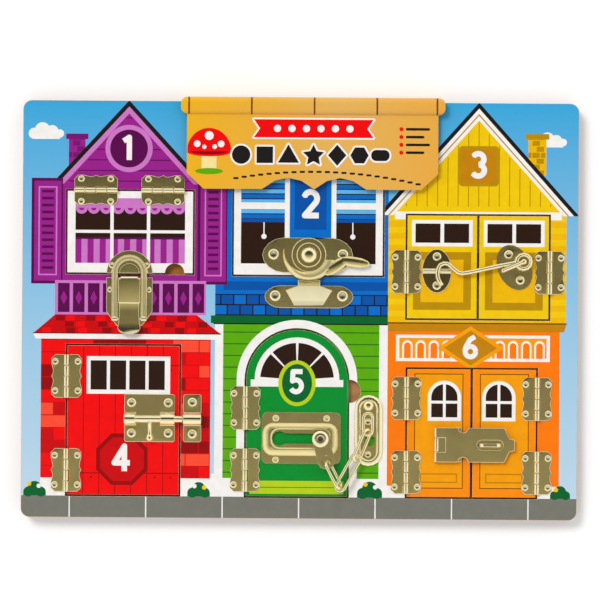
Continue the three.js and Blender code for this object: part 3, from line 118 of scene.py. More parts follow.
# Node trees
class Nodes:
    """The node tree of a material or a world, with short calls to add and join nodes."""

    def __init__(self, owner, shader="Principled BSDF", place="Object"):
        owner.use_nodes = True
        self.tree = owner.node_tree
        self.shader = self.tree.nodes[shader]
        self.place = self.add("ShaderNodeTexCoord").outputs[place]

    def fill(self, node, inputs):
        for key, value in inputs.items():
            if isinstance(value, bpy.types.NodeSocket):
                self.tree.links.new(value, node.inputs[key])
            else:
                node.inputs[key].default_value = value

    def add(self, kind, inputs=None, **settings):
        node = self.tree.nodes.new(kind)
        for key, value in settings.items():
            setattr(node, key, value)
        self.fill(node, inputs or {})
        return node

    def axis(self, name, vector=None):
        source = self.place if vector is None else vector
        return self.add("ShaderNodeSeparateXYZ", {"Vector": source}).outputs[name]

    def scaled(self, x, y, z):
        inputs = {"Vector": self.place, "Scale": (x, y, z)}
        return self.add("ShaderNodeMapping", inputs).outputs["Vector"]

    def noise(self, scale, detail, vector=None):
        source = self.place if vector is None else vector
        inputs = {"Vector": source, "Scale": scale, "Detail": detail}
        return self.add("ShaderNodeTexNoise", inputs).outputs["Fac"]

    def maths(self, operation, *values):
        return self.add("ShaderNodeMath", dict(enumerate(values)), operation=operation).outputs["Value"]

    def mapped(self, value, from_min=0.0, from_max=1.0, to_min=0.0, to_max=1.0):
        inputs = {"Value": value, "From Min": from_min, "From Max": from_max,
                  "To Min": to_min, "To Max": to_max}
        return self.add("ShaderNodeMapRange", inputs).outputs["Result"]

    def mixed(self, factor, first, second, blend_type="MIX"):
        inputs = {"Factor": factor, "A": first, "B": second}
        node = self.add("ShaderNodeMix", inputs, data_type="RGBA", blend_type=blend_type)
        return node.outputs["Result"]

    def ramp(self, factor, stops):
        node = self.add("ShaderNodeValToRGB", {"Fac": factor})
        elements = node.color_ramp.elements
        while len(elements) < len(stops):
            elements.new(0.5)
        for element, (position, colour) in zip(elements, stops):
            element.position = position
            element.color = colour
        return node.outputs["Color"]

    def bump(self, height, strength, distance):
        node = self.add("ShaderNodeBump", {"Height": height, "Strength": strength, "Distance": distance})
        self.fill(self.shader, {"Normal": node.outputs["Normal"]})

    def seen(self):
        """1 for what the camera sees, also in metal and through glass, and 0 for light on the object."""
        rays = self.add("ShaderNodeLightPath").outputs
        mirrored = self.maths("MAXIMUM", rays["Is Glossy Ray"], rays["Is Transmission Ray"])
        return self.maths("MAXIMUM", rays["Is Camera Ray"], mirrored)


def shade(colour, share):
    """colour made lighter or darker by a share of itself."""
    return tuple(min(1, c * share) for c in colour[:3]) + (1,)


# Roughness and gloss of the varnish on prints and card
VARNISH = {"Roughness": 0.26, "Specular IOR Level": 0.3}
CARD_VARNISH = {"Roughness": 0.32, "Specular IOR Level": 0.3}


def varnished(name, tone_of, varnish, grain_scale, grain_detail):
    """A print with a fine grain. tone_of gives its colour from the material's nodes and the grain."""
    material = bpy.data.materials.new(name)
    m = Nodes(material)
    grain = m.noise(grain_scale, grain_detail)
    m.fill(m.shader, {"Base Color": tone_of(m, grain), **varnish})
    m.bump(grain, 0.08, 0.0001)
    return material


def ink(name, rgb):
    """Printed ink under a satin varnish, with a faint mottle and the paper's fine grain."""
    def tone(m, grain):
        colour = linear(rgb)
        return m.ramp(m.noise(160, 4), [(0.3, shade(colour, 0.95)), (0.7, shade(colour, 1.04))])

    return varnished(f"ink_{name}", tone, VARNISH, 2600, 2)


def sky_ink():
    """Sky print, deep blue at the board's top and pale at its foot."""
    def tone(m, grain):
        return m.ramp(m.mapped(m.axis("Y"), -0.135, 0.15), [
            (0.0, linear((190, 215, 232))),
            (0.45, linear((150, 198, 228))),
            (1.0, linear((56, 166, 218))),
        ])

    return varnished("ink_sky", tone, VARNISH, 2600, 2)


def card_stock():
    """Printed card: warm orange at the left, sandy at the right, with a soft fibre."""
    def tone(m, fibre):
        across = m.ramp(m.mapped(m.axis("X"), -0.085, 0.1), [
            (0.0, linear((243, 180, 24))),
            (0.35, linear((235, 176, 62))),
            (0.6, linear((232, 180, 92))),
            (1.0, linear((236, 172, 66))),
        ])
        return m.mixed(0.06, across, fibre, "MULTIPLY")

    return varnished("card_stock", tone, CARD_VARNISH, 1400, 3)


# Thickness of one ply
PLY = 1.3


def plywood():
    """Birch plywood: long grain on the flats, thin plies round the edge."""
    material = bpy.data.materials.new("plywood")
    m = Nodes(material)
    grain = m.noise(1, 8, m.scaled(14, 260, 40))
    face = m.ramp(grain, [
        (0.3, linear((176, 124, 72))),
        (0.55, linear((202, 152, 96))),
        (0.8, linear((218, 172, 118))),
    ])
    ply = m.maths("PINGPONG", m.maths("MULTIPLY", m.axis("Z"), 1 / (PLY * MM)), 1.0)
    edge = m.ramp(ply, [(0.35, linear((104, 66, 38))), (0.6, linear((150, 106, 66)))])
    # Flats show the face, upright sides the plies, and the rounded rims between them bare pale wood
    facing = m.add("ShaderNodeNewGeometry").outputs["Normal"]
    flat = m.maths("ABSOLUTE", m.axis("Z", facing))
    rim = m.ramp(flat, [(0.06, BLACK), (0.2, WHITE), (0.9, WHITE), (0.97, BLACK)])
    flats = m.ramp(flat, [(0.5, BLACK), (0.6, WHITE)])
    wood = m.mixed(flats, edge, face)
    tone = m.mixed(rim, wood, linear((238, 212, 176)))
    m.fill(m.shader, {"Base Color": tone, "Roughness": 0.62})
    m.bump(grain, 0.15, 0.0002)
    return material


def brass(name, rgb, roughness, mottle=0.06):
    """Brass-plated steel: fine rolled grain and slight tarnish."""
    material = bpy.data.materials.new(name)
    m = Nodes(material)
    colour = linear(rgb)
    tone = m.ramp(m.noise(90, 5), [(0.3, shade(colour, 1 - mottle)), (0.7, shade(colour, 1 + mottle))])
    gloss = m.mapped(m.noise(700, 3), to_min=roughness - 0.04, to_max=roughness + 0.06)
    m.fill(m.shader, {"Base Color": tone, "Metallic": 1.0, "Roughness": gloss})
    m.bump(m.noise(1500, 2), 0.12, 0.0001)
    return material


MATERIALS = {name: ink(name, rgb) for name, rgb in INKS.items()}
MATERIALS["sky"] = sky_ink()
MATERIALS["card"] = card_stock()
WOOD = plywood()
BRASS = brass("brass", (226, 206, 132), 0.19)
# Lighter copy of the brass, a painted highlight, on tilted faces, rounded edges, wires, edge bands and
# rivet rings
HIGHLIGHT_BRASS = brass("highlight_brass", (253, 241, 196), 0.13, 0.03)
# Rougher, lighter copy of the brass: the roughness is real, the lighter colour a painted sheen
SHEEN_BRASS = brass("sheen_brass", (253, 236, 174), 0.38, 0.03)
DEEP = brass("deep_brass", (150, 128, 76), 0.22)
# Darker copy of the brass, painted shade, in the rivets' dimples
DIMPLE_SHADE = brass("dimple_shade_brass", (120, 104, 66), 0.35)


# Flat outlines, in millimetres. Large circles are drawn with this many sides
LARGE_CIRCLE = 40


def rect(left, right, bottom, top):
    return [(left, bottom), (right, bottom), (right, top), (left, top)]


def arc(x, y, rx, ry, start, end, steps=24):
    points = []
    for i in range(steps + 1):
        angle = math.radians(start + (end - start) * i / steps)
        points.append((x + rx * math.cos(angle), y + ry * math.sin(angle)))
    return points


def oval(x, y, rx, ry, sides=36):
    return arc(x, y, rx, ry, 0, 360 - 360 / sides, sides - 1)


def disc(x, y, radius, sides=28):
    return oval(x, y, radius, radius, sides)


def regular(x, y, radius, sides):
    angles = [math.pi * (2 * i + 1) / sides for i in range(sides)]
    return [(x + radius * math.sin(angle), y + radius * math.cos(angle)) for angle in angles]


def rounded(left, right, bottom, top, radius, steps=6):
    points = []
    for x, y, start in (
        (right - radius, bottom + radius, -90),
        (right - radius, top - radius, 0),
        (left + radius, top - radius, 90),
        (left + radius, bottom + radius, 180),
    ):
        points += arc(x, y, radius, radius, start, start + 90, steps)
    return points


def arched(left, right, bottom, top, steps=30):
    """A box with a round top."""
    radius = (right - left) / 2
    foot = [(left, bottom), (right, bottom)]
    return foot + arc(left + radius, top - radius, radius, radius, 0, 180, steps)


def stroke(points, width):
    """A line of that width as a list of outlines."""
    half = width / 2
    out = []
    for (x0, y0), (x1, y1) in zip(points, points[1:]):
        length = math.hypot(x1 - x0, y1 - y0)
        nx, ny = -(y1 - y0) / length * half, (x1 - x0) / length * half
        out.append([(x0 - nx, y0 - ny), (x1 - nx, y1 - ny), (x1 + nx, y1 + ny), (x0 + nx, y0 + ny)])
    for x, y in points[1:-1]:
        out.append(disc(x, y, half, 12))
    return out


# Numeral strokes in a box one high, with the box's middle and the strokes' width
NUMERALS = {
    1: [[(0.14, 0.72), (0.36, 0.86), (0.36, 0.0)]],
    2: [arc(0.32, 0.68, 0.22, 0.23, 165, -35, 12) + [(0.12, 0.1), (0.6, 0.1)]],
    3: [arc(0.3, 0.7, 0.2, 0.2, 150, -80, 12), arc(0.3, 0.3, 0.22, 0.21, 80, -150, 12)],
    4: [[(0.44, 0.0), (0.44, 0.9), (0.08, 0.3), (0.64, 0.3)]],
    5: [[(0.56, 0.9), (0.18, 0.9), (0.16, 0.52)] + arc(0.3, 0.33, 0.22, 0.24, 105, -150, 12)],
    6: [[(0.5, 0.9), (0.3, 0.78), (0.14, 0.5), (0.1, 0.32)], arc(0.32, 0.3, 0.21, 0.21, 0, 360, 16)],
}
NUMERAL_MIDDLE = (0.34, 0.45)
NUMERAL_WIDTH = 0.2


def lines(colour, width, segments):
    return [(outline, colour) for segment in segments for outline in stroke(segment, width)]


def numeral(value, x, y, height):
    """Plain bold white numeral, centred on x, y."""
    middle_x, middle_y = NUMERAL_MIDDLE
    strokes = [[(x + (px - middle_x) * height, y + (py - middle_y) * height) for px, py in line]
               for line in NUMERALS[value]]
    return lines("white", NUMERAL_WIDTH * height, strokes)


def add_piece(name, body, verts, faces, materials, slots=None, smooth=False):
    """A piece of the scene, which rides on a body."""
    mesh = bpy.data.meshes.new(name)
    mesh.from_pydata(verts, [], faces)
    for material in materials:
        mesh.materials.append(material)
    if slots:
        mesh.polygons.foreach_set("material_index", slots)
    if smooth:
        mesh.shade_smooth()
    mesh.validate()
    piece = bpy.data.objects.new(name, mesh)
    bpy.context.scene.collection.objects.link(piece)
    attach(piece, body)


# Painting
def paint(name, body, height, base, ground, shapes, holes=()):
    """One flat layer inside the outline base. Shapes are outlines with their inks, and later ones cover
    earlier ones. Where the ink is None, and in the holes, the layer is open."""
    outlines = [base] + [outline for outline, _ in shapes] + list(holes)
    colours = [ground] + [colour for _, colour in shapes]
    points, faces = [], []
    for outline in outlines:
        start = len(points)
        area = sum(a[0] * b[1] - b[0] * a[1] for a, b in zip(outline, outline[1:] + outline[:1]))
        points += [Vector(p) for p in (outline if area > 0 else outline[::-1])]
        faces.append(list(range(start, len(points))))
    verts, _, cells, _, _, owners = delaunay_2d_cdt(points, [], faces, 1, 1e-4, True)
    names = sorted(set(colours) - {None})
    kept, slots = [], []
    for cell, owner in zip(cells, owners):
        if 0 not in owner or max(owner) >= len(colours) or colours[max(owner)] is None:
            continue
        kept.append(cell)
        slots.append(names.index(colours[max(owner)]))
    places = [(v.x * MM, v.y * MM, height * MM) for v in verts]
    add_piece(name, body, places, kept, [MATERIALS[colour] for colour in names], slots)


def paint_face(body, base, ground, shapes, holes=()):
    """The print on the front of a body."""
    paint(f"print_{body}", body, FACE + PRINT_LIFT, base, ground, shapes, holes)


def gable(apex, left, right, base, trims):
    """Triangles one inside the other, each trim a colour and its width."""
    shapes = []
    inset = 0
    middle = apex[0]
    slope = (apex[1] - base) / ((right - left) / 2)
    for colour, width in trims:
        drop = inset * math.hypot(1, slope)
        reach = (right - left) / 2 - drop / slope
        triangle = [(middle - reach, base), (middle + reach, base), (middle, apex[1] - drop)]
        shapes.append((triangle, colour))
        inset += width
    return shapes


MORTAR = 0.7


def bricks(left, right, bottom, top, course, length, palette):
    """Rows of bricks in the inks of palette. None leaves the wall bare."""
    shapes = []
    rows = round((top - bottom) / course)
    for row in range(rows):
        y = bottom + (top - bottom) * row / rows
        shift = length / 2 if row % 2 else 0
        column = 0
        x = left - shift
        while x < right:
            a, b = max(x, left), min(x + length, right)
            if b - a > MORTAR * 2:
                colour = palette[(row * 5 + column * 3 + row * column) % len(palette)]
                if colour:
                    shapes.append((rect(a, b - MORTAR, y, y + course - MORTAR), colour))
            x += length
            column += 1
    return shapes


# Places and radii of the discs in a bush and a cloud of size one
BUSH_DISCS = ((-0.5, 0.3, 0.4), (0.5, 0.3, 0.4), (0, 0.6, 0.55))
CLOUD_DISCS = ((-0.9, 0, 0.4), (-0.3, 0.25, 0.55), (0.4, 0.15, 0.45), (0.95, 0, 0.3))


def puffs(x, y, size, discs, colour):
    return [(disc(x + dx * size, y + dy * size, radius * size), colour) for dx, dy, radius in discs]


def bush(x, y, size):
    foot = rect(x - 0.9 * size, x + 0.9 * size, y, y + 0.35 * size)
    return puffs(x, y, size, BUSH_DISCS, "pine") + [(foot, "pine")]


def cloud(x, y, size):
    foot = rect(x - 0.9 * size, x + 0.95 * size, y - 0.4 * size, y)
    return puffs(x, y, size, CLOUD_DISCS, "white") + [(foot, "white")]


def chimney(x, y, width, height, body, cap):
    half = width / 2
    shapes = [(rect(x - half, x + half, y, y + height), body)]
    shapes += bricks(x - half, x + half, y, y + height, 4.4, 6, [cap, None, None])
    shapes.append((rect(x - half - 2, x + half + 2, y + height - 4, y + height), cap))
    return shapes


# House fronts. The storeys meet at two heights, and all stand on the kerb
STOREY = -4.1
RIGHT_STOREY = -8.5
KERB = -134.4
MIDDLE_WALL = (-61, 63.3)
RIGHT_WALL = (63.3, 191.4)
RIDGE = 150.2


def house_1():
    left, right, base = -176.3, -67.6, 90.0
    middle = -123.7
    shapes = chimney(-161, 96, 12, 30, "purple", "violet")
    shapes += [(rect(left, right, STOREY, base), "purple")]
    shapes += gable((middle, RIDGE), -184.5, -62.9, 84.0, [("dark", 3.0), ("lilac", 3.4), ("purple", 1)])
    shapes += [(rect(left, right, 60, base), "purple")]
    planks = []
    for i in range(7):
        y = 92 + i * 7.6
        reach = (140.0 - y) * 0.9
        planks.append([(middle - reach, y), (middle + reach, y)])
    shapes += lines("plum", 0.7, planks)
    shapes += [(disc(middle, 115.5, 17, LARGE_CIRCLE), "lilac"),
               (disc(middle, 115.5, 13.6, LARGE_CIRCLE), "plum")]
    shapes += numeral(1, middle - 0.2, 115.8, 19)
    # Shutters
    for x0, x1 in ((-193.5, -171), (-74, -52.5)):
        shapes += [(rect(x0, x1, 18, 94), "plum"), (rect(x0 + 2, x1 - 1, 20, 92), "purple")]
        shapes += [(rect(x0 + 5, x1 - 4, 24, 88), "lilac"), (rect(x0 + 6, x1 - 5, 25, 87), "purple")]
        for i in range(12):
            y = 28.5 + i * 5
            shapes.append((rect(x0 + 7.5, x1 - 6.5, y, y + 1.9), "plum"))
    # Balcony
    shapes += [(rect(left, right, STOREY, 20.5), "lilac")]
    for i in range(10):
        x = left + 2.2 + i * 10.75
        shapes.append((rect(x, x + 8.4, -2.4, 18.5), "plum"))
        shapes.append(([(x + 4.2, 3), (x + 6.6, 8), (x + 4.2, 13), (x + 1.8, 8)], "purple"))
    return shapes


def house_2():
    left, right = MIDDLE_WALL
    length, course = 9.2, 7.4
    shapes = [(rect(left, right, STOREY, 128), "blue"), (rect(-64, 66, 128, 134), "deep_navy")]
    shapes += [(rect(-55, 66, 14.2, 20.5), "navy")]
    shapes += [(rect(left, right, STOREY, 11.4), "dark")]
    for row in range(2):
        for i in range(14):
            x = left + i * length - (length / 2 if row else 0)
            a, b = max(x, left), min(x + length - 1, right)
            y = row * course
            if b > a:
                shapes.append((rect(a, b, y - 3.2, y + 3.2), "navy" if (i + row) % 3 else "blue"))
    return shapes


def house_3():
    left, right = RIGHT_WALL
    middle = 128
    shapes = chimney(170, 98, 13, 30, "amber", "ochre")
    shapes += [(rect(left, right, RIGHT_STOREY, 73), "amber")]
    for i in range(9):
        y = -4 + i * 8.6
        shapes.append((rect(left, right, y, y + 4.3), "yellow"))
    shapes += gable((middle, RIDGE), 55.5, 200.5, 69.0, [
        ("dark", 2.8), ("white", 2.6), ("ochre", 0.9), ("white", 2.2), ("yellow", 1)])
    shapes += [(rect(68, 188, 66, 71.6), "white")]
    battens = []
    pitch = 7.4
    for i in range(-7, 8):
        x = middle + i * pitch
        top = 136 - abs(i) * pitch * 1.13
        if top > 76:
            battens.append([(x, 75.5), (x, top)])
    shapes += lines("ochre", 0.7, battens)
    shapes += [(rounded(middle - 14.5, middle + 14.5, 90, 119, 3), "ochre"),
               (rounded(middle - 12.5, middle + 12.5, 92, 117, 2), "bronze")]
    shapes += numeral(3, middle + 0.4, 104.6, 20)
    return shapes


def house_4():
    left, right, foot, eaves, wall_top = -186, -64, -121.5, -17.4, -21.6
    tiles = ("maroon", "red", "crimson")
    shapes = [([(-176, STOREY), (-74, STOREY), (-57, eaves), (-191.5, eaves)], "crimson")]
    for row in range(3):
        for i in range(14):
            y = STOREY - 4.4 * (row + 1)
            spread = 51 + 5.0 * row
            x = -124.5 - spread + i * (2 * spread / 14) + (3.5 if row % 2 else 0)
            shapes.append((rect(x, x + 6.4, y, y + 3.8), tiles[(i + 2 * row) % 3]))
    shapes += [([(-192, eaves), (-56.5, eaves), (-58.5, wall_top), (-190, wall_top)], "white"),
               (rect(-192, -56.5, eaves - 0.5, eaves + 0.2), "dark")]
    shapes += [(rect(left, right, foot, wall_top), "crimson")]
    shapes += bricks(left, right, foot, wall_top, 9.1, 19,
                     ["red", "crimson", "coral", "red", "maroon", "red", "crimson", "coral", "maroon"])
    return shapes


def house_5():
    left, right = MIDDLE_WALL
    foot = -121
    shapes = [(rect(left, right, foot, STOREY), "leaf")]
    boards = [[(left, -16 - i * 8.4), (right, -16 - i * 8.4)] for i in range(13)]
    shapes += lines("moss", 0.8, boards)
    for x in (left, right - 6):
        shapes.append((rect(x, x + 6, foot, STOREY), "white"))
    shapes += [(rect(left - 3, right, -9.6, STOREY), "pine"),
               (rect(left - 1, right, -10.4, -9.4), "dark"),
               (arched(-45.2, 41.6, KERB, -6.9), "white")]
    return shapes


def lozenge(x, y, half_width, half_height):
    return [(x, y - half_height), (x + half_width, y), (x, y + half_height), (x - half_width, y)]


def house_6():
    left, right = RIGHT_WALL[0], 187
    sign_x, sign_y = 123, -26.3
    shapes = [(rect(left, right, -125.7, RIGHT_STOREY), "orange")]
    shapes += [([(left, RIGHT_STOREY), (192, RIGHT_STOREY), (190, -14.6), (left, -14.6)], "bronze"),
               (rect(left, 192, -9, -8.1), "line")]
    # Arcade
    shapes += [(rect(left + 6, right - 7, -36, -17), "white"),
               (rect(left + 8.4, right - 9.4, -33.8, -19.2), "tangerine")]
    for i in range(11):
        x = left + 10.5 + i * 9.5
        shapes += [(arched(x, x + 7.4, -33.8, -21), "white"),
                   (arched(x + 1.3, x + 6.1, -33.8, -22.6), "orange")]
    shapes += [(lozenge(sign_x, sign_y, 24, 15.7), "tangerine"),
               (lozenge(sign_x, sign_y, 19, 12.5), "bronze")]
    shapes += numeral(6, sign_x + 0.2, sign_y + 0.1, 18)
    return shapes


# The pavement and the joints between its slabs
PAVEMENT_JOINTS = (-165, -110, -55, 0, 55, 110, 165)
PAVEMENT_BOTTOM = -160
# Bushes along the kerb with their sizes, and the flowers on them
BUSHES = ((-190, 9), (-72, 9), (51, 10), (188, 8))
FLOWERS = (
    (-194, -126, "yellow"),
    (-187, -127.5, "white"),
    (-75, -127, "white"),
    (-68, -128, "yellow"),
    (48, -125, "yellow"),
    (55, -127, "white"),
    (185, -128, "yellow"),
)


def street():
    shapes = [(rect(-186, 187, KERB, -118), "white")]
    shapes += [(rect(-210, 210, PAVEMENT_BOTTOM, KERB), "pavement")]
    shapes += lines("white", 0.9, [[(x, KERB), (x, PAVEMENT_BOTTOM)] for x in PAVEMENT_JOINTS])
    return shapes


def greens():
    shapes = []
    for x, size in BUSHES:
        shapes += bush(x, KERB, size)
    for x, y, colour in FLOWERS:
        shapes.append((disc(x, y, 1.6, 12), colour))
    return shapes


def grown(outline, margin):
    """An outline that is larger by a margin on all sides."""
    xs, ys = [x for x, _ in outline], [y for _, y in outline]
    middle_x, middle_y = (min(xs) + max(xs)) / 2, (min(ys) + max(ys)) / 2
    scale_x = 1 + margin / ((max(xs) - min(xs)) / 2)
    scale_y = 1 + margin / ((max(ys) - min(ys)) / 2)
    return [(middle_x + (x - middle_x) * scale_x, middle_y + (y - middle_y) * scale_y)
            for x, y in outline]


def opening_outline(name):
    return arched(*OPENINGS[name]) if name == "door_5" else rect(*OPENINGS[name])


def board_print():
    shapes = cloud(-183, 126, 10) + cloud(180, 122, 9)
    shapes += street() + house_2() + house_1() + house_3() + house_5() + house_6() + house_4() + greens()
    x, y, radius = DOOR_NOTCH
    openings = [opening_outline(name) for name in OPENINGS] + [disc(x, y, radius, LARGE_CIRCLE)]
    holes = [grown(outline, PRINT_INSET) for outline in openings]
    paint_face("board", rounded(-199.7, 199.7, -149.7, 149.7, 6.2, 10), "sky", shapes, holes)


def door_base(name):
    """The sides of a door's print: left, right, bottom, top."""
    left, right, bottom, top = OPENINGS[name]
    inset = DOOR_GAP + PRINT_INSET
    return left + inset, right - inset, bottom + inset, top - inset


def leaf_base(name, side):
    """The sides of the print on one leaf of a double door."""
    left, right, bottom, top = door_base(name)
    seam = (OPENINGS[name][0] + OPENINGS[name][1]) / 2
    gap = SEAM / 2 + PRINT_INSET
    return (left, seam - gap, bottom, top) if side == "left" else (seam + gap, right, bottom, top)


def window_1_print():
    left, right, bottom, top = door_base("window_1")
    pane_left, pane_right, sill, head = left + 5.6, right - 5.6, bottom + 6.8, top - 5
    width = pane_right - pane_left
    shapes = [(rect(pane_left, pane_right, sill, head), "pane")]
    # Striped curtain below, scalloped one above
    stripes, scallops = 18, 9
    for i in range(stripes):
        x = pane_left + i * width / stripes
        shapes.append((rect(x, x + width / stripes, sill, bottom + 25), "lilac" if i % 2 else "purple"))
    for i in range(scallops):
        x = pane_left + (i + 0.5) * width / scallops
        shapes.append((disc(x, top - 12, width / 18, 20), "lilac"))
        shapes.append((disc(x, top - 12, width / 40, 14), "purple"))
    shapes.append((rect(pane_left, pane_right, top - 12, head), "lilac"))
    shapes.append((rect(pane_left, pane_right, bottom + 24, bottom + 25.4), "plum"))
    # White bars and sill
    for share in (1 / 3, 2 / 3):
        x = pane_left + width * share
        shapes.append((rect(x - 1.2, x + 1.2, bottom + 3, top - 3), "white"))
    middle = bottom + 29.5
    shapes.append((rect(left, right, middle - 1.1, middle + 1.1), "white"))
    shapes.append((rect(left, right, bottom, sill), "white"))
    x, y, radius = WINDOW_NOTCH
    notch = disc(x, y, radius + PRINT_INSET, LARGE_CIRCLE)
    paint_face("window_1", rect(left, right, bottom, top), "white", shapes, [notch])


def window_2_print():
    left, right, bottom, top = door_base("window_2")
    shapes = []
    for x0, x1 in ((left + 5, left + 38), (right - 38, right - 5)):
        shapes.append((rect(x0, x1, bottom + 8, top - 5), "pane"))
        # Blind with its cord and knob
        for i in range(13):
            y = 66 + i * 3.6
            shapes.append((rect(x0, x1, y, y + 2.8), "ice" if i % 2 else "blue"))
        shapes.append((rect(x0, x1, 63.2, 65.6), "navy"))
        middle = (x0 + x1) / 2
        shapes += lines("white", 0.8, [[(middle, 63.2), (middle, 54)]])
        shapes.append((disc(middle, 53, 1.9, 16), "white"))
        shapes.append((rect(x0 - 6, x1 + 6, 72.6, 77.4), "white"))
    # Panel between the panes, with the number
    middle = 7.2
    shapes += [(rect(middle - 18.5, middle + 18.5, bottom, top), "white"),
               (rect(middle - 15, middle + 15, bottom + 8, top - 2), "blue"),
               (rect(middle - 11.5, middle + 11.5, 58, top - 6), "navy")]
    shapes += numeral(2, middle + 0.4, 75.6, 21)
    shapes.append((rect(left, right, bottom, bottom + 6.5), "white"))
    paint_face("window_2", rect(left, right, bottom, top), "white", shapes)


def door_3_print(side):
    left, right, bottom, top = leaf_base("door_3", side)
    shapes = [(rect(left + 3, right - 3, top - 22, top - 3), "white")]
    bar = 2.6
    width = (right - left - 6 - 3 * bar) / 2
    for i in range(2):
        x = left + 3 + bar + i * (width + bar)
        shapes.append((rect(x, x + width, top - 19.4, top - 5.6), "pane"))
    shapes += [(rect(left + 4, right - 4, bottom + 6, top - 26), "ochre"),
               (rect(left + 9.5, right - 9.5, bottom + 11.5, top - 31.5), "amber")]
    paint_face(f"door_3_{side}", rect(left, right, bottom, top), "yellow", shapes)


def door_4_print():
    left, right, bottom, top = door_base("door_4")
    planks = 7
    pitch = (right - left) / planks
    joints = [left + pitch * i for i in range(1, planks)]
    shapes = lines("maroon", 0.5, [[(x, bottom), (x, top)] for x in joints])
    # Two rails, with a nail in each plank
    for y in (-40.5, -118):
        shapes.append((rect(left, right, y - 0.35, y + 0.35), "maroon"))
        for i in range(planks):
            shapes.append((disc(left + pitch * (i + 0.5), y - 3, 0.7, 10), "maroon"))
    shapes.append((rect(-153, -93, -61, -34), "white"))
    for i in range(4):
        x = -150.2 + i * 13.9
        shapes.append((rect(x, x + 11.6, -58, -37), "pane"))
    sign_x, sign_y = -127.3, -108
    shapes += [(regular(sign_x, sign_y, 20, 8), "maroon"), (regular(sign_x, sign_y, 17, 8), "crimson")]
    shapes += numeral(4, sign_x - 0.3, sign_y + 0.4, 20)
    paint_face("door_4", rect(left, right, bottom, top), "red", shapes)


def door_5_print():
    left, right, bottom, top = door_base("door_5")
    x, y = (left + right) / 2, -50.0
    # Fanlight of four panes
    shapes = [(arc(x, y, 30.5, 30.5, 0, 180), "white")]
    for i in range(4):
        start = 4 + i * 44
        end = start + 40
        shapes.append((arc(x, y, 26.5, 26.5, start, end, 10) + arc(x, y, 8, 8, end, start, 4), "pane"))
    shapes.append((rect(left + 3, right - 3, y - 5, y), "white"))
    shapes += [(oval(x, y - 2.5, 13.5, 16.5), "lime"), (oval(x, y - 2.5, 10.8, 13.8), "pine")]
    shapes += numeral(5, x, y - 2.2, 18)
    # Kick plate
    x0, x1 = left + 2.5, right - 2.5
    shapes.append((rect(x0, x1, bottom + 1.6, bottom + 11), "lime"))
    shapes += lines("green", 0.6, [[(x0, bottom + 6.3), (x1, bottom + 6.3)]])
    paint_face("door_5", arched(left, right, bottom, top), "green", shapes)


def door_6_print(side):
    left, right, bottom, top = leaf_base("door_6", side)
    shapes = [(rect(left + 5, right - 5, bottom + 6, top - 3), "line"),
              (rect(left + 5.6, right - 5.6, bottom + 6.6, top - 3.6), "tangerine")]
    middle = (left + right) / 2 + (4 if side == "left" else -4)
    shapes += [(arched(middle - 12, middle + 12, top - 37, top - 8), "white"),
               (arched(middle - 9.4, middle + 9.4, top - 34.4, top - 10.6), "pane"),
               (rect(middle - 1, middle + 1, top - 36, top - 10), "white"),
               (rect(middle - 11, middle + 11, top - 24.5, top - 22.5), "white"),
               (rect(left + 9, right - 9, bottom + 10, bottom + 17), "bronze"),
               (rect(left + 10, right - 10, bottom + 11, bottom + 16), "tangerine")]
    paint_face(f"door_6_{side}", rect(left, right, bottom, top), "apricot", shapes)


# Plain colours behind the doors, each with as many dots as its number
RECESSES = {
    "window_1": ("rose", "purple", 1),
    "window_2": ("pale_blue", "navy", 2),
    "door_3": ("cream", "ochre", 3),
    "door_4": ("coral", "maroon", 4),
    "door_5": ("mint", "pine", 5),
    "door_6": ("tangerine", "bronze", 6),
}
# The wood is bare under the first window's notch and this far round it
BARE_RIM = 1.6


def recess_prints():
    for name, (ground, spot, count) in RECESSES.items():
        left, right, bottom, top = OPENINGS[name]
        columns = min(count, 3)
        rows = math.ceil(count / columns)
        radius = min((right - left) / columns, (top - bottom) / rows) * 0.3
        shapes = []
        for i in range(count):
            row, column = divmod(i, columns)
            in_row = min(columns, count - row * columns)
            x = (left + right) / 2 + (column - (in_row - 1) / 2) * (right - left) / columns
            y = (top + bottom) / 2 + ((rows - 1) / 2 - row) * (top - bottom) / rows
            shapes.append((disc(x, y, radius, LARGE_CIRCLE), spot))
        if name == "window_1":
            x, y, radius = WINDOW_NOTCH
            shapes.append((disc(x, y, radius + BARE_RIM, LARGE_CIRCLE), "bare"))
        paint(f"recess_{name}", "board", RECESS + PRINT_LIFT, opening_outline(name), ground, shapes)


# Rivet heads: a flange and a rolled ring round a dark dimple, over each plain head of the solids.
# The profile's radii are shares of the head's radius, its heights are millimetres over the dimple
# The flange and ring take the lighter brass, a painted highlight, and the dimple the darker brass,
# painted shade
RIVET_PROFILE = (
    (0.98, -1.45), (1.0, -0.9), (0.97, -0.35), (0.88, 0.0), (0.74, 0.3), (0.61, 0.44), (0.5, 0.4),
    (0.44, 0.12), (0.42, -0.2), (0.38, -0.26), (0.2, -0.26),
)
# The slider's head in millimetres, with as many rows
SLIDER_PROFILE = (
    (5.9, -1.0), (6.05, -0.5), (5.95, -0.05), (5.4, 0.3), (4.5, 0.7), (3.6, 0.95), (2.8, 0.98),
    (2.2, 0.85), (1.8, 0.66), (1.7, 0.62), (0.8, 0.62),
)
RIVET_DIMPLE_ROW = 7
RIVET_SIDES = 24
RIVET_RADIUS = 2.55
RIVET_RADII = {
    "bolt_case": 3.4,
    "bolt_keeper": 3.4,
    "eye_plate_left": 3.3,
    "eye_plate_right": 3.3,
    "sash_base_plate": 4.0,
    "sash_keeper": 4.0,
    "draw_catch_plate": 2.2,
    "draw_latch_base": 2.2,
}
# Height of the dimple's lowest point over the board's face
RIVET_CENTRE = 1.5
RIVET_CENTRES = {"chain_anchor": 1.2, "chain_slider": 8.1}
# Vertices within this of that height, in metres, are such points
RIVET_NEAR = 3e-6


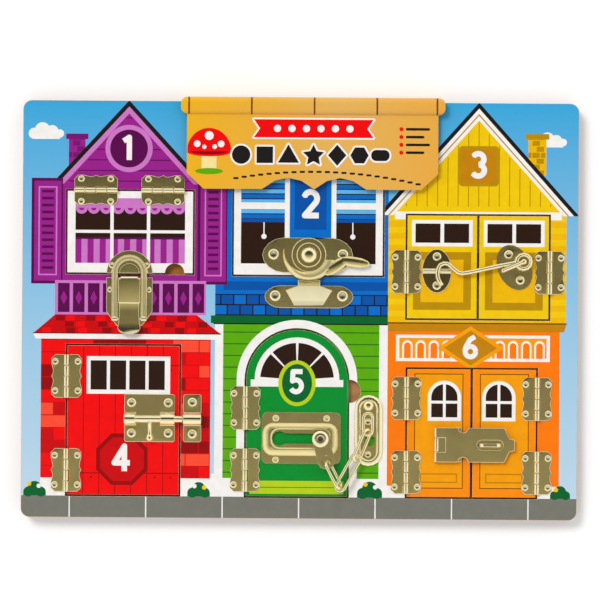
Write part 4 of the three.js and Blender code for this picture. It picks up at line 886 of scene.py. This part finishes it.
def rivet_places(node):
    """Centres of the node's rivet heads, where its solid has the dimple's lowest point."""
    height = (FACE + RIVET_CENTRES.get(node, RIVET_CENTRE)) * MM
    found = {}
    for vertex in nodes[node].data.vertices:
        if abs(vertex.co.z - height) < RIVET_NEAR:
            found[(round(vertex.co.x, 4), round(vertex.co.y, 4))] = vertex.co.copy()
    return list(found.values())


def rivet_profile(node):
    """Radius and height over the dimple of each row of the node's heads."""
    if node == "chain_slider":
        return SLIDER_PROFILE
    radius = RIVET_RADII.get(node, RIVET_RADIUS)
    return [(share * radius, height) for share, height in RIVET_PROFILE]


def rivet_head(centre, profile, start):
    """Vertices, faces and material slots of one head, its faces numbered from start."""
    verts, faces, slots = [], [], []
    for radius, height in profile:
        reach = radius * MM
        for i in range(RIVET_SIDES):
            angle = 2 * math.pi * i / RIVET_SIDES
            verts.append((centre.x + reach * math.cos(angle), centre.y + reach * math.sin(angle),
                          centre.z + height * MM))
    for row in range(len(profile) - 1):
        first = start + row * RIVET_SIDES
        for i in range(RIVET_SIDES):
            a, b = first + i, first + (i + 1) % RIVET_SIDES
            faces.append((a, b, b + RIVET_SIDES, a + RIVET_SIDES))
            # Rows into the dimple get the darker brass, painted shade; the others the lighter brass,
            # painted highlight
            slots.append(int(row >= RIVET_DIMPLE_ROW))
    last = start + (len(profile) - 1) * RIVET_SIDES
    faces.append(tuple(range(last, last + RIVET_SIDES)))
    slots.append(1)
    return verts, faces, slots


def add_rivets(body, members):
    verts, faces, slots = [], [], []
    for node in members:
        if node == CARD:
            continue
        for centre in rivet_places(node):
            head = rivet_head(centre, rivet_profile(node), len(verts))
            verts += head[0]
            faces += head[1]
            slots += head[2]
    if faces:
        add_piece(f"rivets_{body}", body, verts, faces, [HIGHLIGHT_BRASS, DIMPLE_SHADE], slots, smooth=True)


# Materials and softened edges of the solids
WOODEN = (
    "back_panel",
    "front_panel",
    "window_1_flap",
    "window_2_flap",
    "door_3_left",
    "door_3_right",
    "door_4",
    "door_5",
    "door_6_left",
    "door_6_right",
)
DEEP_NODES = ("eye_plate_left",)
# Rougher brass on the flats of the first and on the tilted faces of the second, its lighter colour a
# painted sheen
SHEEN_FLATS = ("draw_latch_bail",)
SHEEN_SIDES = ("sash_cam", "chain_track")
# Round wires, with how far they are drawn out. That makes up for their facets and for their slimness
WIRES = {
    "door_hook": 0.45,
    "chain_link_1": 0.25,
    "chain_link_2": 0.25,
    "chain_link_3": 0.25,
    "chain_link_4": 0.25,
}
# Brass that turns up by less than this, and the rounded edges, take the lighter copy of the brass: a
# painted highlight
FLAT_UP = 0.985
# Points closer than this are joined, and faces that turn by less than this are joined to one
WELD_WIDTH = 0.01
FLAT_ANGLE = math.radians(0.5)
# Edges that turn by more than this are rounded
EDGE_ANGLE = math.radians(60)
EDGE_WIDTH = 0.38
WOOD_EDGE_WIDTH = 0.3
# Outlines that lie close together, or meet at a slant, are rounded less or not at all
CLAMPED = ("chain_track", "eye_plate_right", "chain_anchor")
CREASED = ("chain_slider",)
CREASE_ANGLE = math.radians(35)
# How much large faces count for the shading of their edges
NORMAL_WEIGHT = 60


def finish_of(name):
    if name in WOODEN:
        return WOOD
    if name == CARD:
        return MATERIALS["card"]
    # Wires are all in the lighter brass, a painted highlight
    if name in WIRES:
        return HIGHLIGHT_BRASS
    # The bail's flats take the rougher, lighter brass, a painted sheen
    if name in SHEEN_FLATS:
        return SHEEN_BRASS
    return DEEP if name in DEEP_NODES else BRASS


def modify(node, kind, **settings):
    modifier = node.modifiers.new(kind.lower(), kind)
    for setting, value in settings.items():
        setattr(modifier, setting, value)


def soften(name, node, metal):
    """Joins the facets of flat faces and rounds the edges between them."""
    modify(node, "DECIMATE", decimate_type="DISSOLVE", angle_limit=FLAT_ANGLE, delimit={"MATERIAL"})
    if name in CREASED:
        modify(node, "EDGE_SPLIT", split_angle=CREASE_ANGLE)
    elif name != CARD:
        width = WOOD_EDGE_WIDTH if name in WOODEN else EDGE_WIDTH
        # On metal the rounded edges take the lighter brass, a painted highlight
        modify(node, "BEVEL", width=width * MM, segments=2, limit_method="ANGLE", angle_limit=EDGE_ANGLE,
               use_clamp_overlap=name in CLAMPED, material=1 if metal else -1)


def dress_nodes():
    for name, node in nodes.items():
        mesh = node.data
        mesh.materials.clear()
        mesh.materials.append(finish_of(name))
        mesh.shade_smooth()
        metal = name not in WOODEN and name != CARD and name not in WIRES
        # Metal faces that tilt away from straight up get the lighter brass, a painted highlight
        if metal:
            mesh.materials.append(SHEEN_BRASS if name in SHEEN_SIDES else HIGHLIGHT_BRASS)
            for face in mesh.polygons:
                face.material_index = int(face.normal.z < FLAT_UP)
        modify(node, "WELD", merge_threshold=WELD_WIDTH * MM)
        if name in WIRES:
            modify(node, "DISPLACE", strength=WIRES[name] * MM, mid_level=0)
        else:
            soften(name, node, metal)
        modify(node, "WEIGHTED_NORMAL", weight=NORMAL_WEIGHT)


# Painted highlight on the edges of the chain's track and strap, as bands of the lighter brass. The
# track's top: left, right, bottom, top, corner radius
TRACK_EDGE = (-27.0, 29.9, -110.5, -73.4, 4.2)
TRACK_TOP = FACE + 0.9
# The strap's two round ends as centre and radius, and the radius of its hole at the second
STRAP_ENDS = ((15.3, -92.2, 5.9), (19.6, -107.6, 6.2))
STRAP_HOLE = 3.8
STRAP_TOP = FACE + 7.0
CHAMFER = 0.6
CHAMFER_LIFT = 0.03


def strap_outline():
    (x0, y0, r0), (x1, y1, r1) = STRAP_ENDS
    along = math.atan2(y1 - y0, x1 - x0)
    spread = math.acos((r0 - r1) / math.hypot(x1 - x0, y1 - y0))
    first, last = math.degrees(along - spread), math.degrees(along + spread)
    return arc(x0, y0, r0, r0, last, first + 360) + arc(x1, y1, r1, r1, first, last)


def chamfer(name, body, outlines, height):
    """A sloping band of the lighter brass, a painted highlight, on the edge of a flat top. Outlines of
    its rim run left round, those of holes right round."""
    verts, faces = [], []
    for outline in outlines:
        start, count = len(verts), len(outline)
        for i, (x, y) in enumerate(outline):
            before, after = outline[i - 1], outline[(i + 1) % count]
            out = Vector((after[1] - before[1], before[0] - after[0])).normalized()
            for reach, z in ((CHAMFER_LIFT, height - CHAMFER), (-CHAMFER, height + CHAMFER_LIFT)):
                verts.append(((x + out.x * reach) * MM, (y + out.y * reach) * MM, z * MM))
        for i in range(count):
            a, b = start + 2 * i, start + 2 * ((i + 1) % count)
            faces.append((a, b, b + 1, a + 1))
    add_piece(name, body, verts, faces, [HIGHLIGHT_BRASS], smooth=True)


def chain_edge_highlights():
    chamfer("track_edge_highlight", "door_5", [rounded(*TRACK_EDGE)], TRACK_TOP)
    x, y, _ = STRAP_ENDS[1]
    chamfer("strap_edge_highlight", "slider", [strap_outline(), disc(x, y, STRAP_HOLE)[::-1]], STRAP_TOP)


# Card: its sheet lies over the second window's hinge, and its top edge is a roll
CARD_TOP = FACE + 4.75
ROLL_BOTTOM = 140.5
ROLL_TOP = 153.0
ROLL_LOW = FACE + 4.15
ROLL_CROWN = FACE + 7.35
SEAMS = (-80.5, -35.5, 9.5, 54.5, 97.6)
SEAM_WIDTH = 1.2
# Spots of the toadstool's cap: place over the cap's lower edge, and radius
CAP_SPOTS = ((0, 11.5, 3.2), (-8.6, 5.6, 2.4), (8.6, 5.6, 2.4), (-3.4, 3.4, 1.5), (4, 3.6, 1.7))


def toadstool(x, y):
    """A red toadstool standing on x, y."""
    cap = y + 16
    shapes = [(rounded(x - 5.4, x + 5.4, y, y + 19, 3.5), "cream"),
              (oval(x, y + 2, 10, 2.2), "leaf"),
              (arc(x, cap, 16, 17, 0, 180) + arc(x, cap, 16, 3.4, 180, 360), "red"),
              (arc(x, cap + 0.2, 13, 2.2, 180, 360), "maroon")]
    for dx, dy, radius in CAP_SPOTS:
        shapes.append((disc(x + dx, cap + dy, radius, 20), "white"))
    return shapes


def star(x, y, radius):
    """A star with five points, as deep as half its radius."""
    outline = []
    for i in range(10):
        reach = radius * 0.5 if i % 2 else radius
        angle = math.pi / 2 + math.pi * i / 5
        outline.append((x + reach * math.cos(angle), y + reach * math.sin(angle)))
    return outline


def bordered(outline, width, colour):
    """An outline in that colour, over a white line of that width along it."""
    shapes = [(piece, "white") for piece in stroke(outline + outline[:1], width)]
    shapes.append((disc(*outline[0], width / 2, 16), "white"))
    return shapes + [(outline, colour)]


def card_print():
    shapes = toadstool(-66, 97.5)
    # A ribbon with six spots
    ribbon = [(-28, 124), (46, 124), (52, 124), (47.5, 130.5), (52, 137), (-34, 137), (-29.5, 130.5),
              (-34, 124)]
    shapes += bordered(ribbon, 2.4, "red")
    for i in range(6):
        shapes.append((disc(-17 + i * 10.4, 130.5, 2.6, 20), "white"))
    # A row of plain shapes
    size, y = 6.6, 111.5
    half = size - 0.7
    row = [
        disc(-43, y, size),
        rect(-26 - half, -26 + half, y - half, y + half),
        [(-9 - size - 1, y - size + 1), (-9 + size + 1, y - size + 1), (-9, y + size + 1)],
        star(9, y - 0.4, size + 1.4),
        lozenge(26, y, size, size + 1),
        regular(42, y, size, 6),
        rounded(57 - size, 57 + size, y - size * 0.6, y + size * 0.6, 3.6),
    ]
    for outline in row:
        shapes += bordered(outline, 2.6, "dark")
    # A list of four dots and dashes
    for i in range(4):
        y = 130.5 - i * 5.6
        end = 92.5 - (i % 2) * 4
        shapes += [(disc(72, y, 1.5, 16), "red"), (rounded(75.2, end, y - 0.9, y + 0.9, 0.8, 3), "dark")]
    # Small dashes along the arched lower edge
    middle_x, middle_y, reach = 10, -230.5, 330
    for i in range(26):
        angle = math.radians(-13 + i * 1.04)
        x, y = middle_x + reach * math.sin(angle), middle_y + reach * math.cos(angle)
        if -49 < x < 86:
            shapes.append((rounded(x - 1.9, x + 1.9, y - 0.75, y + 0.75, 0.6, 3), "dark"))
    paint("print_card", "card", CARD_TOP + PRINT_LIFT, rect(-81.5, 98, 87.5, ROLL_BOTTOM), None, shapes)


def roll_line():
    """Points across the card's roll, from its lower edge over the crown to its upper edge."""
    middle = (ROLL_BOTTOM + ROLL_TOP) / 2
    lower, upper = [
        [(edge + share ** 2 * (middle - edge), ROLL_CROWN - (1 - share) ** 2 * (ROLL_CROWN - ROLL_LOW))
         for share in (0.0, 0.25, 0.5, 0.75, 1.0)]
        for edge in (ROLL_BOTTOM, ROLL_TOP)
    ]
    return lower + upper[-2::-1]


def card_trim():
    """Brown seams across the roll."""
    verts, faces = [], []
    line = roll_line()
    for x in SEAMS:
        start = len(verts)
        for y, z in line:
            for edge in (x - SEAM_WIDTH / 2, x + SEAM_WIDTH / 2):
                verts.append((edge * MM, y * MM, (z + PRINT_LIFT) * MM))
        for i in range(len(line) - 1):
            a = start + 2 * i
            faces.append((a, a + 1, a + 3, a + 2))
    add_piece("card_roll_seams", "card", verts, faces, [MATERIALS["seam"]])


# Studio. Sizes and places are metres, turns are degrees
FLOOR_SIZE = 6
FLOOR_GLOW = 0.16
# How strongly the room lights the object. Camera, metal and glass see it at full strength
ROOM_LIGHT = 0.81
SUN_STRENGTH = 1.5
SUN_WIDTH = 22
SUN_DIRECTION = (0.5, -0.55, -1)
# Camera: height over the board's face, and the width, middle and turn of its view
CAMERA_HEIGHT = 2.4
VIEW_WIDTH = 0.4316
VIEW_MIDDLE = (0, 0.0074)
VIEW_TURN = 0.4


def add_floor():
    bpy.ops.mesh.primitive_plane_add(size=FLOOR_SIZE)
    floor = bpy.context.object
    floor.name = "floor"
    material = bpy.data.materials.new("floor")
    m = Nodes(material)
    m.fill(m.shader, {
        "Base Color": (0.9, 0.9, 0.9, 1),
        "Roughness": 1,
        "Specular IOR Level": 0,
        "Emission Color": WHITE,
        "Emission Strength": m.maths("MULTIPLY", m.seen(), FLOOR_GLOW),
    })
    floor.data.materials.append(material)


def add_room():
    """A dark ceiling over a bright room. The ceiling is brighter towards the board's foot."""
    world = bpy.data.worlds.new("studio")
    bpy.context.scene.world = world
    m = Nodes(world, "Background", "Generated")
    ceiling = m.mapped(m.axis("Y"), -0.2, 0.06, 0.72, 0.04)
    room = m.mapped(m.axis("Z"), 0.8, 0.9, 0.97, ceiling)
    m.fill(m.shader, {"Color": room, "Strength": m.mapped(m.seen(), to_min=ROOM_LIGHT)})


def add_sun():
    sun = bpy.data.lights.new("key", "SUN")
    sun.energy = SUN_STRENGTH
    sun.angle = math.radians(SUN_WIDTH)
    lamp = bpy.data.objects.new("key", sun)
    # The metal mirrors the room, without a burnt-out spot of the sun
    lamp.visible_glossy = False
    lamp.rotation_euler = Vector(SUN_DIRECTION).to_track_quat("-Z", "Y").to_euler()
    bpy.context.scene.collection.objects.link(lamp)


def add_camera():
    data = bpy.data.cameras.new("camera")
    data.sensor_width = 36
    data.lens = data.sensor_width * CAMERA_HEIGHT / VIEW_WIDTH
    data.clip_end = 20
    camera = bpy.data.objects.new("camera", data)
    camera.location = (*VIEW_MIDDLE, CAMERA_HEIGHT + FACE * MM)
    camera.rotation_euler = (0, 0, math.radians(VIEW_TURN))
    bpy.context.scene.collection.objects.link(camera)
    bpy.context.scene.camera = camera
    bpy.context.scene.view_settings.view_transform = "Standard"


board_print()
window_1_print()
window_2_print()
door_3_print("left")
door_3_print("right")
door_4_print()
door_5_print()
door_6_print("left")
door_6_print("right")
recess_prints()
dress_nodes()
for body_name, members in bodies.items():
    add_rivets(body_name, members)
chain_edge_highlights()
card_print()
card_trim()
add_floor()
add_room()
add_sun()
add_camera()
